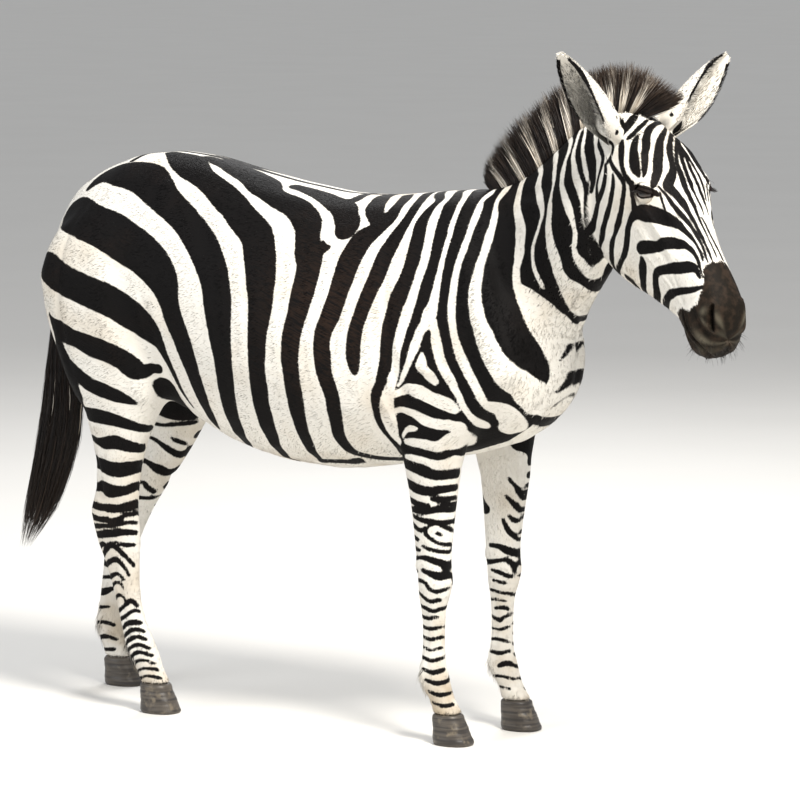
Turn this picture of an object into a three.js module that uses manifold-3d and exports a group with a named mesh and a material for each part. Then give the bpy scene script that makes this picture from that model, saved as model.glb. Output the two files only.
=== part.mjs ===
// A plains zebra, standing square with its head turned a little to its right: a still, life-size model.
//
// Everything is in millimetres. The animal faces +X, its left is +Y and up is +Z. The flesh is lofted
// from stations (a cross-section at each named place along the trunk, the neck, the head, each leg and
// the tail), joined into one body and then parted by thin flat cuts into the pieces that a person
// would name. Hooves, eyes, ears and the upright mane are solids of their own that meet the body with
// a small gap.

import * as THREE from "three";
import { mergeVertices } from "three/addons/utils/BufferGeometryUtils.js";
import Module from "manifold-3d";

// ---- driving dimensions -----------------------------------------------------------------------------

const GAP = 0.4; // clear gap between neighbouring solids
const HAIR_GAP = 1.2; // and under the mane and round the root of the tail
const WITHERS_Z = 1252; // height at the withers
const HEAD_YAW = THREE.MathUtils.degToRad(-24.5); // the head turns to the animal's right
const HEAD_PITCH = THREE.MathUtils.degToRad(49); // the face points this far below the horizon
const POLL = new THREE.Vector3(857, -128, 1441); // top of the skull between the ears
const EYE_RADIUS = 21;
const EYE = { along: 203, up: -20, side: 74 }; // centre of the eyeball in the head's frame
const EAR_LENGTH = 214;
// How far each ear's mouth looks outward from straight ahead.
const EAR_TURN = { right: THREE.MathUtils.degToRad(80), left: THREE.MathUtils.degToRad(20) };
const HOOF_HEIGHT = 70;

const FRONT_RIGHT_X = 341; // the two front legs are columns at these places
const FRONT_LEFT_X = 391;

// ---- stations ---------------------------------------------------------------------------------------

// Trunk: place along the body, height of the back, height of the belly, half width, height of the
// widest level.
const TRUNK = [
  [-714, 1120, 990, 52, 1062],
  [-698, 1172, 925, 100, 1056],
  [-655, 1228, 862, 150, 1040],
  [-590, 1268, 806, 192, 1026],
  [-500, 1301, 762, 218, 1010],
  [-400, 1311, 724, 230, 985],
  [-300, 1301, 672, 236, 955],
  [-215, 1281, 634, 248, 920],
  [-80, 1252, 600, 265, 880],
  [50, 1232, 591, 271, 862],
  [185, 1231, 607, 261, 868],
  [300, 1243, 628, 236, 885],
  [409, WITHERS_Z, 648, 208, 900],
  [500, 1212, 678, 180, 900],
  [556, 1130, 712, 147, 885],
  [600, 1055, 752, 102, 878],
  [632, 985, 796, 58, 880],
  [649, 925, 842, 24, 884],
];
const TRUNK_ROUNDNESS = 2.1; // exponent of the section's superellipse

// Neck: the crest and the throat of each section, half width and heading in degrees.
const NECK = [
  [[330, 0, 1236], [560, -4, 740], 160, 0],
  [[409, 0, WITHERS_Z - 4], [620, -14, 850], 136, -4],
  [[463, -5, 1261], [654, -34, 930], 102, -8],
  [[517, -20, 1281], [688, -60, 985], 90, -12],
  [[577, -44, 1316], [724, -85, 1030], 84, -16],
  [[645, -72, 1362], [756, -100, 1072], 85, -18],
  [[715, -98, 1412], [772, -112, 1108], 78, -20],
  [[786, -118, 1440], [795, -118, 1152], 68, -22],
  [[842, -127, 1432], [820, -122, 1200], 52, -24],
];
const NECK_PEAR = 0.06; // how much narrower the crest is than the throat

// Head, in its own frame: distance from the poll towards the lips, then the half outline from the
// midline of the face (height), by brow, cheek and jaw (half width, height), to the midline below
// (height).
const HEAD = [
  [-40, -50, [34, -62], [52, -104], [34, -144], -166],
  [-14, -14, [50, -30], [68, -102], [48, -170], -200],
  [30, 4, [56, -12], [78, -90], [60, -192], -230],
  [80, 18, [66, 2], [87, -76], [68, -208], -250],
  [125, 28, [76, 12], [92, -62], [69, -222], -266],
  [165, 32, [83, 13], [95, -48], [68, -232], -276],
  [203, 31, [82, 7], [95, -52], [64, -238], -281],
  [245, 26, [71, 0], [93, -68], [59, -230], -272],
  [298, 17, [51, -6], [81, -74], [53, -210], -246],
  [350, 9, [42, -10], [66, -72], [46, -181], -212],
  [402, 2, [39, -14], [57, -68], [42, -152], -178],
  [445, -3, [41, -19], [56, -66], [42, -138], -160],
  [486, -10, [46, -30], [60, -70], [46, -140], -162],
  [522, -26, [44, -48], [58, -86], [45, -142], -162],
  [550, -54, [35, -70], [46, -98], [37, -132], -151],
  [566, -86, [20, -92], [27, -104], [20, -122], -132],
];

// Front leg: height, centre ahead of the column, half length fore and aft, distance of the centre from
// the midline, half width.
const FRONT_LEG = [
  [1165, 44, 32, 100, 30],
  [1110, 62, 76, 116, 52],
  [1040, 84, 110, 128, 64],
  [950, 100, 136, 135, 69],
  [870, 94, 148, 138, 69],
  [800, 62, 138, 140, 66],
  [735, 22, 116, 140, 61],
  [680, 6, 86, 134, 56],
  [630, 2, 71, 127, 51],
  [580, 1, 62, 123, 47],
  [530, 0, 55, 120, 43],
  [480, -1, 49, 118, 40],
  [430, -2, 44, 117, 37],
  [396, 0, 42, 116, 38],
  [366, 2, 42, 116, 39],
  [336, 0, 38, 116, 36],
  [306, -2, 32, 116, 28],
  [270, -2, 29, 115, 24],
  [215, -2, 28, 115, 23],
  [182, -3, 30, 115, 25],
  [152, -1, 36, 115, 29],
  [126, 6, 35, 115, 28],
  [102, 19, 30, 115, 26],
  [80, 30, 32, 115, 28],
  [HOOF_HEIGHT, 34, 35, 115, 31],
];

// Hind leg above the stifle, the same on both sides: height, back edge, front edge, distance of the
// centre from the midline, half width.
const HAUNCH = [
  [1190, -580, -430, 118, 58],
  [1140, -640, -378, 126, 82],
  [1085, -678, -350, 131, 95],
  [1020, -702, -332, 134, 101],
  [950, -700, -322, 136, 101],
  [880, -684, -318, 137, 98],
  [815, -661, -326, 137, 91],
];
// From the stifle down: the right leg stands forward, the left one trails.
const HIND_RIGHT = [
  [755, -630, -350, 137, 82],
  [700, -584, -388, 137, 69],
  [640, -566, -416, 137, 56],
  [580, -554, -433, 137, 46],
  [526, -556, -440, 136, 38],
  [490, -566, -443, 134, 34],
  [462, -572, -443, 133, 33],
  [428, -568, -440, 132, 33],
  [390, -557, -440, 131, 31],
  [350, -540, -443, 130, 27],
  [305, -525, -444, 129, 24],
  [255, -510, -441, 128, 23],
  [205, -497, -428, 127, 24],
  [165, -485, -410, 126, 28],
  [132, -474, -396, 125, 30],
  [106, -458, -388, 125, 27],
  [82, -444, -376, 125, 28],
  [HOOF_HEIGHT, -441, -369, 125, 31],
];
const HIND_LEFT = [
  [755, -640, -362, 137, 82],
  [700, -604, -406, 137, 69],
  [640, -596, -438, 137, 56],
  [585, -602, -472, 137, 46],
  [535, -626, -506, 136, 39],
  [495, -670, -534, 134, 35],
  [462, -706, -556, 133, 33],
  [428, -720, -578, 132, 33],
  [390, -718, -598, 131, 31],
  [350, -716, -616, 130, 27],
  [305, -717, -632, 129, 24],
  [255, -722, -648, 128, 23],
  [205, -727, -656, 127, 24],
  [165, -733, -658, 126, 28],
  [132, -733, -652, 125, 30],
  [106, -722, -648, 125, 27],
  [82, -711, -640, 125, 28],
  [HOOF_HEIGHT, -709, -635, 125, 31],
];

// Tail: a point on its axis, half thickness across the body and fore and aft.
const TAIL = [
  [[-640, 0, 1196], 26, 30],
  [[-690, 0, 1150], 25, 26],
  [[-724, 0, 1070], 22, 23],
  [[-738, 0, 980], 21, 23],
  [[-744, 0, 890], 25, 27],
  [[-748, 0, 790], 33, 37],
  [[-752, 0, 690], 40, 49],
  [[-764, 0, 610], 41, 50],
  [[-786, 0, 530], 37, 47],
  [[-816, 0, 435], 29, 38],
  [[-848, 0, 360], 16, 20],
  [[-862, 0, 330], 7, 9],
];

// Mane: a point on the crest, heading in degrees, length of the hair, lean of the hair (1 is back
// along the crest), half thickness at the root and at the tip.
const MANE = [
  [[430, 0, 1250], 0, 12, 1.1, 12, 5],
  [[463, -5, 1258], -4, 36, 0.9, 20, 8],
  [[517, -20, 1279], -8, 66, 0.65, 29, 11],
  [[577, -44, 1314], -13, 90, 0.45, 34, 13],
  [[645, -72, 1360], -18, 102, 0.3, 35, 14],
  [[715, -98, 1410], -20, 106, 0.16, 34, 14],
  [[786, -118, 1438], -22, 104, 0.02, 32, 14],
  [[830, -125, 1444], -24, 100, -0.06, 30, 14],
  [[858, -132, 1439], -24, 92, -0.14, 27, 13],
  [[876, -140, 1430], -24, 66, -0.25, 22, 10],
  [[888, -145, 1422], -24, 26, -0.4, 14, 7],
];

// ---- small tools ------------------------------------------------------------------------------------

const wasm = await Module();
wasm.setup();

const V = (x, y, z) => new THREE.Vector3(x, y, z);
const headingOf = (degrees) => THREE.MathUtils.degToRad(degrees);

// A cubic through the rows of a table, each a flat list of numbers whose first is the place along it.
function between(table, place) {
  const last = table.length - 1;
  const sign = Math.sign(table[last][0] - table[0][0]);
  let i = 0;
  while (i < last - 1 && sign * (place - table[i + 1][0]) > 0) i++;
  const [a, b] = [table[i], table[i + 1]];
  const span = b[0] - a[0];
  const t = (place - a[0]) / span;
  const slope = (k, c) => {
    const [p, q] = [table[Math.max(k - 1, 0)], table[Math.min(k + 1, last)]];
    return ((q[c] - p[c]) / (q[0] - p[0])) * span;
  };
  return a.map((value, c) =>
    c === 0
      ? place
      : (2 * t ** 3 - 3 * t ** 2 + 1) * value +
        (t ** 3 - 2 * t ** 2 + t) * slope(i, c) +
        (3 * t ** 2 - 2 * t ** 3) * b[c] +
        (t ** 3 - t ** 2) * slope(i + 1, c),
  );
}

// Places along a table: every row, and extra ones between rows so that no step is longer than `step`.
function placesAlong(table, step) {
  return table.flatMap((row, i) => {
    if (i === table.length - 1) return [row[0]];
    const span = table[i + 1][0] - row[0];
    const parts = Math.max(1, Math.round(Math.abs(span) / step));
    return Array.from({ length: parts }, (_, k) => row[0] + (span * k) / parts);
  });
}

// The rows of a table of points and numbers, flattened, with their running number in front.
const numbered = (rows) => rows.map((row, i) => [i, ...row.flat(2)]);

// A point on a superellipse of half sizes a and b.
function superellipse(angle, a, b, power) {
  const [c, s] = [Math.cos(angle), Math.sin(angle)];
  const bend = (v) => Math.sign(v) * Math.abs(v) ** (2 / power);
  return [a * bend(c), b * bend(s)];
}

// A closed solid through rings of points, with its two ends closed by a fan to their middles.
function loft(rings) {
  const sides = rings[0].length;
  const points = rings.flat();
  const middle = (ring) =>
    ring.reduce((sum, p) => sum.add(p), V(0, 0, 0)).divideScalar(sides);
  points.push(middle(rings[0]), middle(rings.at(-1)));
  const [first, last] = [points.length - 2, points.length - 1];
  const base = (rings.length - 1) * sides;
  const faces = [];
  for (let r = 0; r < rings.length - 1; r++)
    for (let k = 0; k < sides; k++) {
      const [a, b] = [r * sides + k, r * sides + ((k + 1) % sides)];
      faces.push([a, b, b + sides], [a, b + sides, a + sides]);
    }
  for (let k = 0; k < sides; k++) {
    const next = (k + 1) % sides;
    faces.push([first, next, k], [last, base + k, base + next]);
  }
  return solid(points, faces);
}

// A manifold of points and triangles, turned right side out if need be.
function solid(points, faces) {
  const vertProperties = new Float32Array(points.flatMap((p) => [p.x, p.y, p.z]));
  const build = (triangles) =>
    new wasm.Manifold(
      new wasm.Mesh({
        numProp: 3,
        vertProperties,
        triVerts: new Uint32Array(triangles.flat()),
      }),
    );
  const made = build(faces);
  return made.volume() > 0 ? made : build(faces.map(([a, b, c]) => [a, c, b]));
}

// A three.js geometry as a manifold.
function solidOf(geometry, matrix = new THREE.Matrix4()) {
  const bare = geometry.clone().applyMatrix4(matrix);
  bare.deleteAttribute("normal");
  bare.deleteAttribute("uv");
  const merged = mergeVertices(bare, 1e-3);
  return new wasm.Manifold(
    new wasm.Mesh({
      numProp: 3,
      vertProperties: merged.attributes.position.array,
      triVerts: new Uint32Array(merged.index.array),
    }),
  );
}

function geometryOf(manifold) {
  const mesh = manifold.getMesh();
  const geometry = new THREE.BufferGeometry();
  const positions = new Float32Array(mesh.numVert * 3);
  for (let i = 0; i < mesh.numVert; i++)
    positions.set(
      mesh.vertProperties.subarray(i * mesh.numProp, i * mesh.numProp + 3),
      i * 3,
    );
  geometry.setAttribute("position", new THREE.BufferAttribute(positions, 3));
  geometry.setIndex(new THREE.BufferAttribute(mesh.triVerts, 1));
  geometry.computeVertexNormals();
  return geometry;
}

// The same solid with its surface moved outwards, so that what is cut by it keeps a gap.
function grown(manifold, distance) {
  const geometry = geometryOf(manifold);
  const { position, normal } = geometry.attributes;
  for (let i = 0; i < position.count; i++)
    position.setXYZ(
      i,
      position.getX(i) + normal.getX(i) * distance,
      position.getY(i) + normal.getY(i) * distance,
      position.getZ(i) + normal.getZ(i) * distance,
    );
  return solidOf(geometry);
}

// A thin flat cut: a slab through `from` and `to` seen from the side, reaching `reach` to both sides.
function slabBetween(from, to, reach, heading = 0) {
  const along = to.clone().sub(from);
  const across = V(-Math.sin(heading), Math.cos(heading), 0);
  const normal = along.clone().cross(across).normalize();
  const matrix = new THREE.Matrix4().makeBasis(
    along.clone().normalize(),
    normal.clone().cross(along).normalize(),
    normal,
  );
  matrix.setPosition(from.clone().add(to).divideScalar(2));
  return solidOf(new THREE.BoxGeometry(along.length(), 2 * reach, GAP), matrix);
}

const joined = (solids) => solids.reduce((a, b) => a.add(b));

// The largest separate body of a solid, without the slivers that a cut may leave.
const largest = (manifold) =>
  manifold.decompose().reduce((a, b) => (a.volume() > b.volume() ? a : b));

// ---- flesh ------------------------------------------------------------------------------------------

function trunk() {
  const sides = 24;
  const rings = placesAlong(TRUNK, 90).map((place) => {
    const [x, back, belly, halfWidth, widest] = between(TRUNK, place);
    return Array.from({ length: sides }, (_, k) => {
      const angle = (2 * Math.PI * (k + 0.5)) / sides;
      const height = Math.sin(angle) > 0 ? back - widest : widest - belly;
      const [y, z] = superellipse(angle, halfWidth, height, TRUNK_ROUNDNESS);
      return V(x, y, widest + z);
    });
  });
  return loft(rings);
}

function neck() {
  const sides = 20;
  const table = numbered(NECK);
  const rings = placesAlong(table, 0.6).map((place) => {
    const [, cx, cy, cz, tx, ty, tz, halfWidth, heading] = between(table, place);
    const [crest, throat] = [V(cx, cy, cz), V(tx, ty, tz)];
    const middle = crest.clone().add(throat).divideScalar(2);
    const up = crest.clone().sub(throat);
    const half = up.length() / 2;
    const turn = headingOf(heading);
    const left = V(-Math.sin(turn), Math.cos(turn), 0);
    left.addScaledVector(up, -left.dot(up) / up.lengthSq()).normalize();
    return Array.from({ length: sides }, (_, k) => {
      const angle = (2 * Math.PI * (k + 0.5)) / sides;
      const pear = 1 - NECK_PEAR * Math.sin(angle);
      return middle
        .clone()
        .addScaledVector(left, halfWidth * pear * Math.cos(angle))
        .addScaledVector(up, (half * Math.sin(angle)) / up.length());
    });
  });
  return loft(rings);
}

// The head's frame: x runs from the poll to the lips, y to the animal's left and z out of the face.
const HEAD_FRAME = new THREE.Matrix4()
  .makeRotationZ(HEAD_YAW)
  .multiply(new THREE.Matrix4().makeRotationY(HEAD_PITCH))
  .setPosition(POLL);
const inHead = (along, side, up) => V(along, side, up).applyMatrix4(HEAD_FRAME);

function head() {
  const table = HEAD.map((row) => row.flat());
  const rings = placesAlong(table, 24).map((place) => {
    const [along, top, w1, h1, w2, h2, w3, h3, bottom] = between(table, place);
    const half = [[w1, h1], [w2, h2], [w3, h3]];
    const outline = [
      V(0, top, 0),
      ...half.map(([w, h]) => V(w, h, 0)),
      V(0, bottom, 0),
      ...half.reverse().map(([w, h]) => V(-w, h, 0)),
    ];
    const curve = new THREE.CatmullRomCurve3(outline, true, "centripetal");
    return curve
      .getSpacedPoints(20)
      .slice(0, -1)
      .map((p) => inHead(along, p.x, p.y));
  });
  return loft(rings);
}

// A leg through level rings: height, centre along the body, half length, centre from the midline, half
// width.
function leg(stations, side) {
  const sides = 14;
  const rings = placesAlong(stations, 50).map((place) => {
    const [z, x, halfLength, y, halfWidth] = between(stations, place);
    return Array.from({ length: sides }, (_, k) => {
      const angle = (2 * Math.PI * (k + 0.5)) / sides;
      const [along, across] = superellipse(angle, halfLength, halfWidth, 2.15);
      return V(x + along, side * y + across, z);
    });
  });
  return loft(rings);
}

// The shoulders are level with each other: only below them does one front leg stand ahead of the other.
const SHOULDER_Z = 820;
const ELBOW_Z = 560;

function frontLeg(columnX, side) {
  const stations = FRONT_LEG.map(([z, ahead, ...rest]) => {
    const free = 1 - THREE.MathUtils.smoothstep(z, ELBOW_Z, SHOULDER_Z);
    return [z, FRONT_RIGHT_X + ahead + free * (columnX - FRONT_RIGHT_X), ...rest];
  });
  return leg(stations, side);
}

const hindLeg = (lower, side) =>
  leg(
    [...HAUNCH, ...lower].map(([z, back, front, y, halfWidth]) => [
      z,
      (back + front) / 2,
      (front - back) / 2,
      y,
      halfWidth,
    ]),
    side,
  );

function tail() {
  const sides = 12;
  const table = numbered(TAIL);
  const rings = placesAlong(table, 1).map((place) => {
    const [, x, y, z, halfWidth, halfDepth] = between(table, place);
    return Array.from({ length: sides }, (_, k) => {
      const angle = (2 * Math.PI * k) / sides;
      return V(x + halfDepth * Math.cos(angle), y + halfWidth * Math.sin(angle), z);
    });
  });
  return loft(rings);
}

// ---- hooves, eyes, ears and mane --------------------------------------------------------------------

// A hoof under a leg whose coronet is centred at x, y: its wall slopes forward and its sole is flat on
// the floor.
function hoof(x, y, halfLength, halfWidth) {
  const sides = 16;
  const forward = 15; // the sole's centre is this far ahead of the coronet's
  const flare = 14; // and it is this much longer
  const levels = [
    [HOOF_HEIGHT - GAP, 0, -3, -3],
    [HOOF_HEIGHT - 9, 1, 2, 2],
    [HOOF_HEIGHT * 0.5, forward * 0.5, flare * 0.5, 6],
    [4, forward, flare, 10],
    [0, forward, flare - 2, 8],
  ];
  const rings = levels.map(([z, ahead, longer, wider]) =>
    Array.from({ length: sides }, (_, k) => {
      const angle = (2 * Math.PI * (k + 0.5)) / sides;
      const [along, across] = superellipse(
        angle,
        halfLength + longer,
        halfWidth + wider,
        2.3,
      );
      return V(x + ahead + along, y + across, z);
    }),
  );
  return loft(rings);
}

function eyeball(side) {
  const place = new THREE.Matrix4().setPosition(
    inHead(EYE.along, side * EYE.side, EYE.up),
  );
  return solidOf(new THREE.SphereGeometry(EYE_RADIUS, 12, 8), place);
}

// An ear: a leaf rolled into a cup. Rings run from the root to the tip. Its mouth is turned outwards
// from the way that the head faces by an angle of its own.
function ear(side, turnedOut) {
  const across = 9; // points on the outer and on the inner side of a ring
  const wall = 5;
  const root = V(20, side * 74, -18);
  const axis = V(-0.48, side * 0.78, 0.5).normalize(); // from root to tip, in the head's frame
  const ahead = V(Math.cos(HEAD_PITCH), 0, Math.sin(HEAD_PITCH));
  const mouth = ahead.multiplyScalar(Math.cos(turnedOut));
  mouth.y = side * Math.sin(turnedOut);
  mouth.addScaledVector(axis, -mouth.dot(axis)).normalize();
  const sideways = axis.clone().cross(mouth).normalize();
  const profile = [
    // share of the length, half width, how far the edges wrap round in degrees
    [-0.16, 26, 150],
    [0, 32, 150],
    [0.14, 37, 134],
    [0.3, 41, 118],
    [0.48, 41, 104],
    [0.66, 36, 94],
    [0.82, 27, 84],
    [0.93, 16, 74],
    [1, 7, 60],
  ];
  const rings = profile.map(([share, halfWidth, wrap]) => {
    const reach = THREE.MathUtils.degToRad(wrap);
    const radius = halfWidth / Math.sin(Math.min(reach, Math.PI / 2));
    const thickness = Math.min(wall, radius * 0.5);
    const at = (angle, r) =>
      root
        .clone()
        .addScaledVector(axis, share * EAR_LENGTH)
        .addScaledVector(sideways, r * Math.sin(angle))
        .addScaledVector(mouth, -r * Math.cos(angle) + radius * 0.45)
        .applyMatrix4(HEAD_FRAME);
    const angles = Array.from(
      { length: across },
      (_, k) => -reach + (2 * reach * k) / (across - 1),
    );
    return [
      ...angles.map((angle) => at(angle, radius)),
      ...angles.reverse().map((angle) => at(angle, radius - thickness)),
    ];
  });
  return loft(rings);
}

function mane() {
  const table = numbered(MANE);
  const rings = placesAlong(table, 1).map((place, i, places) => {
    const [, x, y, z, heading, length, lean, root, tip] = between(table, place);
    const near = (k) => between(table, places[Math.min(Math.max(k, 0), places.length - 1)]);
    const [p, q] = [near(i - 1), near(i + 1)];
    const forward = V(q[1] - p[1], q[2] - p[2], q[3] - p[3]).normalize();
    const turn = headingOf(heading);
    const left = V(-Math.sin(turn), Math.cos(turn), 0);
    const up = forward.clone().cross(left).normalize();
    const hair = up.clone().addScaledVector(forward, -lean).normalize();
    const buried = -26; // the root of the hair starts below the skin
    const at = (height, half) =>
      V(x, y, z).addScaledVector(hair, height).addScaledVector(left, half);
    return [
      at(buried, root),
      at(length * 0.45, root * 0.85),
      at(length * 0.86, (root + tip) / 2),
      at(length, tip * 0.5),
      at(length, -tip * 0.5),
      at(length * 0.86, -(root + tip) / 2),
      at(length * 0.45, -root * 0.85),
      at(buried, -root),
    ];
  });
  return loft(rings);
}

// ---- the whole animal, parted into its pieces -------------------------------------------------------

const SIDES = { right: -1, left: 1 };

const legs = {
  leg_front_right: frontLeg(FRONT_RIGHT_X, SIDES.right),
  leg_front_left: frontLeg(FRONT_LEFT_X, SIDES.left),
  leg_hind_right: hindLeg(HIND_RIGHT, SIDES.right),
  leg_hind_left: hindLeg(HIND_LEFT, SIDES.left),
};

const flesh = joined([trunk(), neck(), head(), ...Object.values(legs)]);

const cuts = {
  neck: slabBetween(V(375, 0, 1310), V(700, 0, 825), 320),
  head: slabBetween(inHead(-105, 0, 51), inHead(235, 0, -350), 200, HEAD_YAW),
  front: slabBetween(V(236, 0, 622), V(540, 0, 622), 240),
  hind: slabBetween(V(-378, 0, 684), V(-740, 0, 752), 280),
};

const parted = flesh.subtract(joined(Object.values(cuts))).decompose();

// The body that holds most of a named region, by the place of its middle.
function bodyAt(name, test) {
  const found = parted.filter((body) => {
    const { min, max } = body.boundingBox();
    return test(
      (min[0] + max[0]) / 2,
      (min[1] + max[1]) / 2,
      (min[2] + max[2]) / 2,
      body.volume(),
    );
  });
  if (!found.length) throw new Error("no body found for " + name);
  return found.reduce((a, b) => (a.volume() > b.volume() ? a : b));
}

const pieces = {
  trunk: bodyAt("trunk", () => true),
  neck: bodyAt("neck", (x, y, z) => x > 500 && x < 790 && z > 1050),
  head: bodyAt("head", (x, y, z) => x > 800 && z > 900),
  leg_front_right: bodyAt("leg", (x, y, z) => x > 200 && y < 0 && z < 400),
  leg_front_left: bodyAt("leg", (x, y, z) => x > 200 && y > 0 && z < 400),
  leg_hind_right: bodyAt("leg", (x, y, z) => x < -300 && y < 0 && z < 450),
  leg_hind_left: bodyAt("leg", (x, y, z) => x < -300 && y > 0 && z < 450),
};

for (const [name, side] of Object.entries(SIDES)) {
  const eye = eyeball(side);
  pieces["eye_" + name] = eye;
  pieces.head = largest(pieces.head.subtract(grown(eye, GAP)));
}

const body = joined([pieces.trunk, pieces.neck, pieces.head]);
const roomForEars = grown(body, GAP);
const roomForHair = grown(body, HAIR_GAP);
for (const [name, side] of Object.entries(SIDES))
  pieces["ear_" + name] = largest(ear(side, EAR_TURN[name]).subtract(roomForEars));
pieces.tail = largest(tail().subtract(roomForHair));
pieces.mane = mane().subtract(roomForHair);
for (const name of ["ear_right", "ear_left"])
  pieces.mane = largest(pieces.mane.subtract(grown(pieces[name], HAIR_GAP)));

for (const name of Object.keys(legs)) {
  const front = name.includes("front");
  const column = name === "leg_front_right" ? FRONT_RIGHT_X : FRONT_LEFT_X;
  const lower = name === "leg_hind_right" ? HIND_RIGHT : HIND_LEFT;
  const [, a, b, y, halfWidth] = (front ? FRONT_LEG : lower).at(-1);
  const x = front ? column + a : (a + b) / 2;
  const halfLength = front ? b : (b - a) / 2;
  const side = name.endsWith("right") ? SIDES.right : SIDES.left;
  pieces[name.replace("leg", "hoof")] = hoof(x, side * y, halfLength, halfWidth);
}

// ---- materials and the group ------------------------------------------------------------------------

const coat = () => new THREE.MeshStandardMaterial({ color: 0xd8d2c6, roughness: 0.75 });
const hair = () => new THREE.MeshStandardMaterial({ color: 0x2a2320, roughness: 0.8 });
const horn = () => new THREE.MeshStandardMaterial({ color: 0x4a4540, roughness: 0.55 });
const glassy = () => new THREE.MeshStandardMaterial({ color: 0x140d09, roughness: 0.1 });

function finishOf(name) {
  if (name.startsWith("hoof")) return horn();
  if (name.startsWith("eye")) return glassy();
  return name === "mane" || name === "tail" ? hair() : coat();
}

const zebra = new THREE.Group();
for (const [name, manifold] of Object.entries(pieces)) {
  const mesh = new THREE.Mesh(geometryOf(manifold), finishOf(name));
  mesh.name = name;
  zebra.add(mesh);
}

// The origin is on the floor, below the middle of the animal's bounding box.
const bounds = new THREE.Box3().setFromObject(zebra);
const middle = bounds.getCenter(new THREE.Vector3());
zebra.position.set(-middle.x, -middle.y, -bounds.min.z);

export default zebra;
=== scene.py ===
"""A plains zebra standing still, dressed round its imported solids.

Helpers work in millimetres in the zebra's own axes: X forward and zero at mid-trunk, Y to its left, Z up from
the floor. to_row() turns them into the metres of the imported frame. Two charts lay the hide out flat, so that
stripes and folds are drawn as lines on it: body_chart (place along the trunk, height, or the unrolled arc
above the widest level) and head_chart (place along the head, hundredths of a radian round it, the right side
negative).
"""

import math

import bmesh
import bpy
import numpy as np
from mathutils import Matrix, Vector


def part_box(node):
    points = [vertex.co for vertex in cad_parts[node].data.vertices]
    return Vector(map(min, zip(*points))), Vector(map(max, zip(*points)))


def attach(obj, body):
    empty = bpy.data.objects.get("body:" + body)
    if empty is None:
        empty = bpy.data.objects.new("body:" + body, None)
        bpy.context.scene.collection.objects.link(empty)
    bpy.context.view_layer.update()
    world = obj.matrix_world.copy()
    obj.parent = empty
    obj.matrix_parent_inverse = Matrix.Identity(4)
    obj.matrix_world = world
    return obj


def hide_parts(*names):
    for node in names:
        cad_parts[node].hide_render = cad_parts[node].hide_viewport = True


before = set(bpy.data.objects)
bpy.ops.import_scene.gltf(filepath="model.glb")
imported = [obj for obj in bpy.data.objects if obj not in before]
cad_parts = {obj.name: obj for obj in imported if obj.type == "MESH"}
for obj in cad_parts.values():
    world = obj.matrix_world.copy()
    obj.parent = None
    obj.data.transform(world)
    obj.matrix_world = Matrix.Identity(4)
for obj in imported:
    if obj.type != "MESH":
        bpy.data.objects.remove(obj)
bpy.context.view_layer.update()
rng = np.random.default_rng(1974)

# ---- frame and numbers -----------------------------------------------------------------------------------

MM = 0.001
TRUNK_REAR_X = -714  # rearmost point of the trunk in the zebra's axes
trunk_low, trunk_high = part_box("trunk")
ORIGIN = np.array([trunk_low[0] / MM - TRUNK_REAR_X, (trunk_low[1] + trunk_high[1]) / 2 / MM, 0.0])
SIDES = {"right": -1, "left": 1}
UP = np.array([0, 0, 1.0])


def to_row(points):
    return (np.asarray(points, float) + ORIGIN) * MM


def from_row(points):
    return np.asarray(points, float) / MM - ORIGIN


def unit(v):
    v = np.asarray(v, float)
    return v / np.maximum(np.linalg.norm(v, axis=-1, keepdims=True), 1e-9)


def dot(a, b):
    """Product of two lists of directions, as a column."""
    return (a * b).sum(1)[:, None]


def smoothstep(low, high, x):
    t = np.clip((x - low) / (high - low), 0, 1)
    return t * t * (3 - 2 * t)


def hump(x, width):
    return np.exp(-((x / width) ** 2))


def table(text):
    """'a b c, a b c' as one array for each line; a line that ends in a comma runs on in the next one."""
    lines = text.strip().replace(",\n", ",").splitlines()
    return [np.array([point.split() for point in line.split(",")], float) for line in lines]


def rows(text):
    return table(text)[0]


def follow(x, table_rows, *columns):
    """Columns of a table at x, which runs along its first one."""
    return [np.interp(x, table_rows[:, 0], table_rows[:, c]) for c in columns]


# ---- the head's own axes ---------------------------------------------------------------------------------

POLL = np.array([857.0, -128.0, 1441.0])
PITCH, YAW = math.radians(49), math.radians(24.5)
HEADING = np.array([math.cos(YAW), -math.sin(YAW), 0.0])
ALONG = math.cos(PITCH) * HEADING - math.sin(PITCH) * UP
LEFT = np.array([math.sin(YAW), math.cos(YAW), 0.0])
ABOVE = math.sin(PITCH) * HEADING + math.cos(PITCH) * UP
CHART_AXIS = -80  # height of the line that the head's chart turns round


def head_axes(points):
    d = points - POLL
    return d @ ALONG, d @ LEFT, d @ ABOVE


def in_head(along, left, above):
    return POLL + along * ALONG + left * LEFT + above * ABOVE


def head_chart(points, mirrored=True):
    along, left, above = head_axes(points)
    round_it = 100 * np.arctan2(left, above - CHART_AXIS)
    return np.c_[along, -np.abs(round_it) if mirrored else round_it]


def head_share(points, soft=10):
    """1 on the head, 0 on the neck, with the throat as the border."""
    along, _, above = head_axes(points)
    return smoothstep(-soft, soft, 0.763 * (along + 105) + 0.647 * (above - 51))


# ---- the body's chart ------------------------------------------------------------------------------------

# x, height of the back, half width, height of the widest level
BACK = rows("""
-714 1120 52 1062, -655 1228 150 1040, -500 1301 218 1010, -400 1311 230 985, -300 1301 236 955,
-80 1252 265 880, 50 1232 271 862, 185 1231 261 868, 300 1243 236 885, 409 1252 205 900, 600 1055 102 878
""")
ARC_STEPS = 12
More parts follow.
